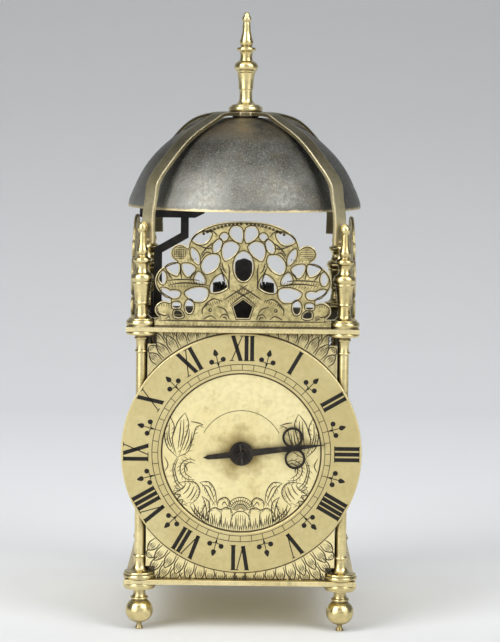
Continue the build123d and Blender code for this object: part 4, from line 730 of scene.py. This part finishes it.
def corner_leaves(side, up, reach):
    """Lobes of a leaf that spread from the ring into one corner of the plate."""
    edge_x, edge_z = plate_half - PLATE_MARGIN, reach - PLATE_MARGIN
    diagonal = math.atan2(edge_x, edge_z)
    for row in range(ACANTHUS_ROWS):
        radius = ACANTHUS_START + ACANTHUS_ROW_STEP * row
        spread = LOBE_PITCH / radius
        for k in range(int(math.pi / 2 / spread) + 1):
            turn = (k + 0.5 * (row % 2)) * spread
            foot_x, foot_z = turned(0, radius, turn)
            lean = turn + 0.7 * (turn - diagonal)
            room = min((edge_x - foot_x) / max(math.sin(lean), 0.01),
                       (edge_z - foot_z) / max(math.cos(lean), 0.01))
            length = min(LOBE_LONGEST, room)
            if foot_x > edge_x or foot_z > edge_z or length < LOBE_SHORTEST:
                continue

            def place(across, along):
                x, z = turned(across, along, lean, foot_x, foot_z)
                return (side * x, up * z)

            acanthus_lobe(place, length)


def ring_shadow(side, up, reach):
    """Painted shadow on the plate along the ring's outer edge, across one corner."""
    radius = ring_radius + RING_SHADOW_GAP
    start = math.acos(min(1.0, (reach - RING_SHADOW_MARGIN) / radius))
    end = math.asin((plate_half - RING_SHADOW_MARGIN) / radius)
    turns = [start + (end - start) * k / RING_SHADOW_STEPS for k in range(RING_SHADOW_STEPS + 1)]
    flowers.straight([(side * radius * math.sin(a), up * radius * math.cos(a)) for a in turns],
                     1.1, 0.5)


for side in (-1, 1):
    corner_leaves(side, 1, plate_up)
    corner_leaves(side, -1, plate_down)
    ring_shadow(side, 1, plate_up)
    ring_shadow(side, -1, plate_down)
# The dial's cuts and its painted shadow lines, as one piece.
flowers.piece("dial_engraving_and_shadows", "cut", "frame")

# Engraving of the frets: a line along every edge, then the dolphins, knobs, leaves and crest.
# Each half is drawn from the fret's middle, on its foot, to the right and mirrored.
BORDER, BORDER_WIDTH = 0.95, 0.7
CROWDED = 0.7         # points of an edge that are closer than this are dropped
IN_FACE = 0.02 * MM   # how far from the face a triangle still counts as on it
FRET_LINES = (
    # rail and the dolphin's head
    [(0.0, 4.4), (28.0, 4.4), (53.0, 4.4)],
    [(8.6, 5.4), (9.6, 8.0), (12.6, 8.6), (14.6, 6.2)],
    [(10.2, 5.2), (11.2, 6.8), (13.0, 6.6)],
    [(17.0, 5.6), (20.0, 7.6), (23.4, 6.4), (24.8, 5.2)],
    [(25.6, 8.4), (25.4, 12.2), (21.6, 15.4)],
    [(14.0, 17.2), (18.6, 18.4), (22.6, 15.8), (25.0, 12.6)],
    [(9.4, 8.6), (11.8, 12.0), (16.6, 13.6)],
    [(19.6, 11.6), (20.8, 12.2), (21.4, 11.0), (20.2, 10.4), (19.6, 11.6)],
    # its body, up round the eye and into the tail
    [(8.4, 13.8), (1.6, 19.8), (-6.4, 24.0)],
    [(11.8, 17.8), (6.6, 21.4), (-2.6, 27.4)],
    [(8.6, 24.0), (9.0, 30.0), (8.8, 36.4), (9.6, 40.4)],
    [(10.6, 34.6), (12.6, 37.2), (13.6, 41.6)],
    [(11.6, 29.0), (13.2, 34.6), (15.0, 38.6)],
    # tail leaves and crest
    [(17.6, 54.6), (21.4, 52.2), (25.0, 48.4), (26.6, 45.4)],
    [(19.2, 50.4), (22.6, 50.2), (25.4, 50.8), (30.6, 52.6)],
    [(20.0, 47.0), (23.6, 47.6), (26.6, 43.6)],
    [(16.6, 58.0), (19.8, 61.0), (26.6, 61.0)],
    # leaves in the loop
    [(21.4, 26.6), (30.0, 27.8), (38.0, 28.2), (47.0, 26.8)],
    [(27.4, 29.8), (33.6, 30.4), (42.0, 30.2), (48.0, 29.6)],
    [(38.6, 30.6), (39.4, 34.4), (39.6, 38.6)],
    [(33.4, 30.6), (32.4, 33.4), (29.6, 36.0)],
    [(44.6, 30.6), (46.4, 32.8), (48.6, 35.6)],
    # lobe at the end of the rail
    [(46.4, 8.4), (49.6, 7.4), (53.0, 9.0), (53.8, 12.2)],
)
# Rows of short cuts: start, end, lean of each cut, how many, width.
FRET_HATCHES = (
    ((23.6, 27.4), (47.0, 27.2), (1.2, 1.9), 15, 0.42),  # spindle leaf across the loop
    ((25.0, 25.6), (46.0, 25.2), (1.0, 1.5), 12, 0.42),
    ((9.0, 16.2), (-2.0, 24.6), (0.6, 1.9), 10, 0.42),   # scales on the body
    ((7.4, 14.8), (-4.0, 23.2), (0.6, 1.7), 10, 0.42),
    ((13.0, 16.0), (22.6, 13.4), (1.2, 2.2), 8, 0.5),    # back fin
    ((10.4, 26.6), (13.8, 40.2), (1.8, 0.8), 9, 0.42),   # tail
    ((46.6, 13.4), (52.6, 13.0), (0.3, 1.8), 5, 0.42),   # lobe at the end of the rail
    ((19.4, 51.6), (25.2, 46.0), (2.0, 1.2), 6, 0.42),   # tail leaves
    ((29.6, 42.6), (34.6, 41.6), (0.8, 1.8), 4, 0.42),
)
RAIL_HATCH = ((-46, 1.2), (46, 1.2), (1.2, 1.4), 40, 0.32)
KNOB_X, KNOB_Z, KNOB_RADIUS, KNOB_REACH = 40, 47, 4.4, 4.2
KNOB_CUTS, KNOB_FOOT, KNOB_CROSS, KNOB_PITCH = 7, 43.6, -36.6, 1.15
CREST_DOTS, CREST_TICKS, CREST_STEP, CREST_START = 11, 9, 2.7, 2
CREST_ACROSS, CREST_UP, CREST_Z = 52.0, 51.6, 14.2


def borders(node, out, front):
    """Runs of face points along the edges of a flat node's outer face, metal on their left."""
    mesh = node.data
    mesh.calc_loop_triangles()
    right = -out.cross(UP)
    edges = {}
    for face in mesh.loop_triangles:
        corners = [node.matrix_world @ mesh.vertices[v].co for v in face.vertices]
        normal = (corners[1] - corners[0]).cross(corners[2] - corners[0]).normalized()
        if normal.dot(out) < 0.99 or abs((corners[0] - front).dot(out)) > IN_FACE:
            continue
        flat = [(round((c - front).dot(right) / MM, 2), round((c - front).z / MM, 2))
                for c in corners]
        for a, b in zip(flat, flat[1:] + flat[:1]):
            if (b, a) in edges:
                del edges[(b, a)]
            else:
                edges[(a, b)] = True
    follow = dict(edges.keys())
    closed = []
    while follow:
        start, at = follow.popitem()
        run = [start]
        while at != start and at in follow:
            run.append(at)
            at = follow.pop(at)
        if len(run) > 4:
            closed.append(run)
    return closed


def inset(run, distance):
    """A closed run shifted to its left, where the metal is, with crowded points dropped."""
    kept = [run[0]]
    for point in run[1:]:
        if math.dist(point, kept[-1]) > CROWDED:
            kept.append(point)
    moved = []
    for before, at, after in zip(kept[-1:] + kept, kept, kept[1:] + kept[:1]):
        dx, dz = heading(before, after)
        moved.append((at[0] - dz * distance, at[1] + dx * distance))
    return moved + moved[:1]


def hatch(cut, side, start, end, leg, count, width):
    """Short parallel cuts that lean by leg, spread from start to end."""
    for k in range(count):
        share = k / (count - 1)
        x = start[0] + (end[0] - start[0]) * share
        z = start[1] + (end[1] - start[1]) * share
        cut.straight(mirrored(side, [(x, z), (x + leg[0], z + leg[1])]), width, 0.3)


def knob(cut, side):
    """Level cuts on the right knob, crossed ones on the left."""
    for k in range(KNOB_CUTS):
        z = KNOB_FOOT + KNOB_PITCH * k
        reach = KNOB_REACH * math.sqrt(max(0.05, 1 - ((z - KNOB_Z) / KNOB_RADIUS) ** 2))
        cut.straight(mirrored(side, [(KNOB_X - reach, z), (KNOB_X + reach, z)]), 0.5, 0.5)
        if side < 0:
            x = KNOB_CROSS - KNOB_PITCH * k
            cut.straight([(x, KNOB_Z - reach * 0.8), (x, KNOB_Z + reach * 0.8)], 0.45, 0.5)


def crest(cut, side):
    """Dots along the top of the crest, most of them with a tick below."""
    for k in range(CREST_DOTS):
        turn = math.radians(CREST_START + CREST_STEP * k)
        x, z = CREST_ACROSS * math.sin(turn), CREST_Z + CREST_UP * math.cos(turn)
        cut.dot(side * x, z, 0.95)
        if k < CREST_TICKS:
            cut.straight(mirrored(side, [(x + 1.0, z - 0.2), (x + 1.3, z - 1.6)]), 0.4, 0.4)


def engrave_fret(node, right):
    """Cuts on a fret's outer face, measured from the middle of its foot."""
    low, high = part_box(node)
    out = Vector(right).cross(UP)
    if abs(out.x) > 0.5:
        front = Vector((high.x if out.x > 0 else low.x, clock_y, low.z))
    else:
        front = Vector(((low.x + high.x) / 2, high.y if out.y > 0 else low.y, low.z))
    cut = Engraving(front, right)
    for run in borders(nodes[node], out, front):
        cut.straight(inset(run, BORDER), BORDER_WIDTH, 1.0)
    for side in (-1, 1):
        for points in FRET_LINES:
            cut.line(mirrored(side, points), 0.95, 0.35)
        knob(cut, side)
        for row in FRET_HATCHES:
            hatch(cut, side, *row)
        crest(cut, side)
    hatch(cut, 1, *RAIL_HATCH)
    cut.piece(f"{node}_engraving", "cut", "frame")


engrave_fret("fret_front", (1, 0, 0))
engrave_fret("fret_left", (0, -1, 0))
engrave_fret("fret_right", (0, 1, 0))

# ---------------------------------------------------------------- studio

CENTRE = (0.0, 0.0, 0.2)
# Lamps: place, target, width, height, watts.
LAMPS = {
    "left_panel": ((-1.15, -1.25, 0.52), CENTRE, 1.2, 1.15, 11),
    "right_panel": ((1.30, -1.10, 0.50), CENTRE, 1.2, 1.15, 5.5),
    "front_panel": ((0.0, -2.7, 1.1), CENTRE, 3.0, 2.0, 10.5),
    "left_softbox": ((-1.25, -1.15, 1.55), CENTRE, 1.0, 1.0, 22),
    "right_softbox": ((1.25, -1.15, 1.55), CENTRE, 1.0, 1.0, 19),
    "tent_roof": ((0.0, -0.5, 2.0), (0.0, 0.1, 0.0), 2.0, 1.8, 14),
}
# Tone of the paper by how far back plus how far up it is, in metres.
PAPER_TONES = ((-0.10, 0.72), (0.13, 0.90), (0.37, 0.86), (0.87, 0.90), (1.22, 0.745),
               (1.59, 0.60), (1.80, 0.52), (2.0, 0.465))
PAPER_TINT = (0.985, 1.0, 1.01)
SWEEP_WIDTH, SWEEP_FRONT, SWEEP_BACK, SWEEP_HEIGHT = 8.0, -5.0, 1.6, 3.0
SWEEP_BEND, SWEEP_STEPS = 0.7, 16
WORLD_COLOUR, WORLD_STRENGTH = (0.75, 0.78, 0.82, 1), 0.22


def area_light(name, place, target, width, height, watts):
    lamp = bpy.data.lights.new(name, "AREA")
    lamp.shape = "RECTANGLE"
    lamp.size, lamp.size_y, lamp.energy = width, height, watts
    made = bpy.data.objects.new(name, lamp)
    made.location = place
    made.rotation_euler = (Vector(target) - Vector(place)).to_track_quat("-Z", "Y").to_euler()
    made.visible_camera = False
    bpy.context.scene.collection.objects.link(made)


def studio_paper():
    """Matt paper, clear when looked at from behind."""
    look = Finish("studio_paper")
    parts = look.parts(look.place)
    first, last = PAPER_TONES[0][0], PAPER_TONES[-1][0]
    share = look.span(look.plus(parts["Y"], parts["Z"]), first, last)
    ramp = look.node("ShaderNodeValToRGB", {0: share})
    stops = ramp.color_ramp.elements
    for k, (at, tone) in enumerate(PAPER_TONES):
        stop = stops[k] if k < 2 else stops.new(1.0)
        stop.position = (at - first) / (last - first)
        stop.color = (*(tone * tint for tint in PAPER_TINT), 1.0)
    look.drive("Base Color", ramp.outputs["Color"])
    look.fixed(Roughness=0.9)
    behind = look.node("ShaderNodeNewGeometry").outputs["Backfacing"]
    clear = look.node("ShaderNodeBsdfTransparent").outputs["BSDF"]
    paper = look.node("ShaderNodeMixShader", {0: behind, 1: look.shader.outputs["BSDF"], 2: clear})
    look.tree.links.new(paper.outputs[0], look.tree.nodes["Material Output"].inputs["Surface"])
    return look.material


def studio_sweep():
    """Floor that curves up into a backdrop."""
    profile = [(SWEEP_FRONT, 0.0)]
    for k in range(SWEEP_STEPS + 1):
        a = math.pi / 2 * k / SWEEP_STEPS
        profile.append((SWEEP_BACK - SWEEP_BEND + SWEEP_BEND * math.sin(a),
                        SWEEP_BEND * (1 - math.cos(a))))
    profile.append((SWEEP_BACK, SWEEP_HEIGHT))
    points = [(x, y, z) for y, z in profile for x in (-SWEEP_WIDTH / 2, SWEEP_WIDTH / 2)]
    faces = [(2 * k, 2 * k + 1, 2 * k + 3, 2 * k + 2) for k in range(len(profile) - 1)]
    mesh = bpy.data.meshes.new("studio_sweep")
    mesh.from_pydata(points, [], faces)
    mesh.shade_smooth()
    mesh.materials.append(studio_paper())
    made = bpy.data.objects.new("studio_sweep", mesh)
    bpy.context.scene.collection.objects.link(made)


for name, settings in LAMPS.items():
    area_light(name, *settings)
studio_sweep()
world = bpy.data.worlds.new("studio")
bpy.context.scene.world = world
world.use_nodes = True
background = world.node_tree.nodes["Background"]
background.inputs["Color"].default_value = WORLD_COLOUR
background.inputs["Strength"].default_value = WORLD_STRENGTH

# ---------------------------------------------------------------- camera

CAMERA_PLACE, CAMERA_PITCH, CAMERA_ROLL = (0.0039, -1.5135, 0.3421), 3.788, 0.7
SENSOR_WIDTH, LENS, SHIFT_UP, CLIP = 36.0, 128.3, -0.12, (0.05, 20)

camera_data = bpy.data.cameras.new("camera")
camera_data.sensor_width, camera_data.lens, camera_data.shift_y = SENSOR_WIDTH, LENS, SHIFT_UP
camera_data.clip_start, camera_data.clip_end = CLIP
camera = bpy.data.objects.new("camera", camera_data)
camera.rotation_mode = "XYZ"
camera.location = CAMERA_PLACE
level = Euler((math.radians(90 - CAMERA_PITCH), 0, 0)).to_matrix()
camera.rotation_euler = (level @ Matrix.Rotation(math.radians(CAMERA_ROLL), 3, "Z")).to_euler()
bpy.context.scene.collection.objects.link(camera)
bpy.context.scene.camera = camera
bpy.context.scene.view_settings.view_transform = "Standard"
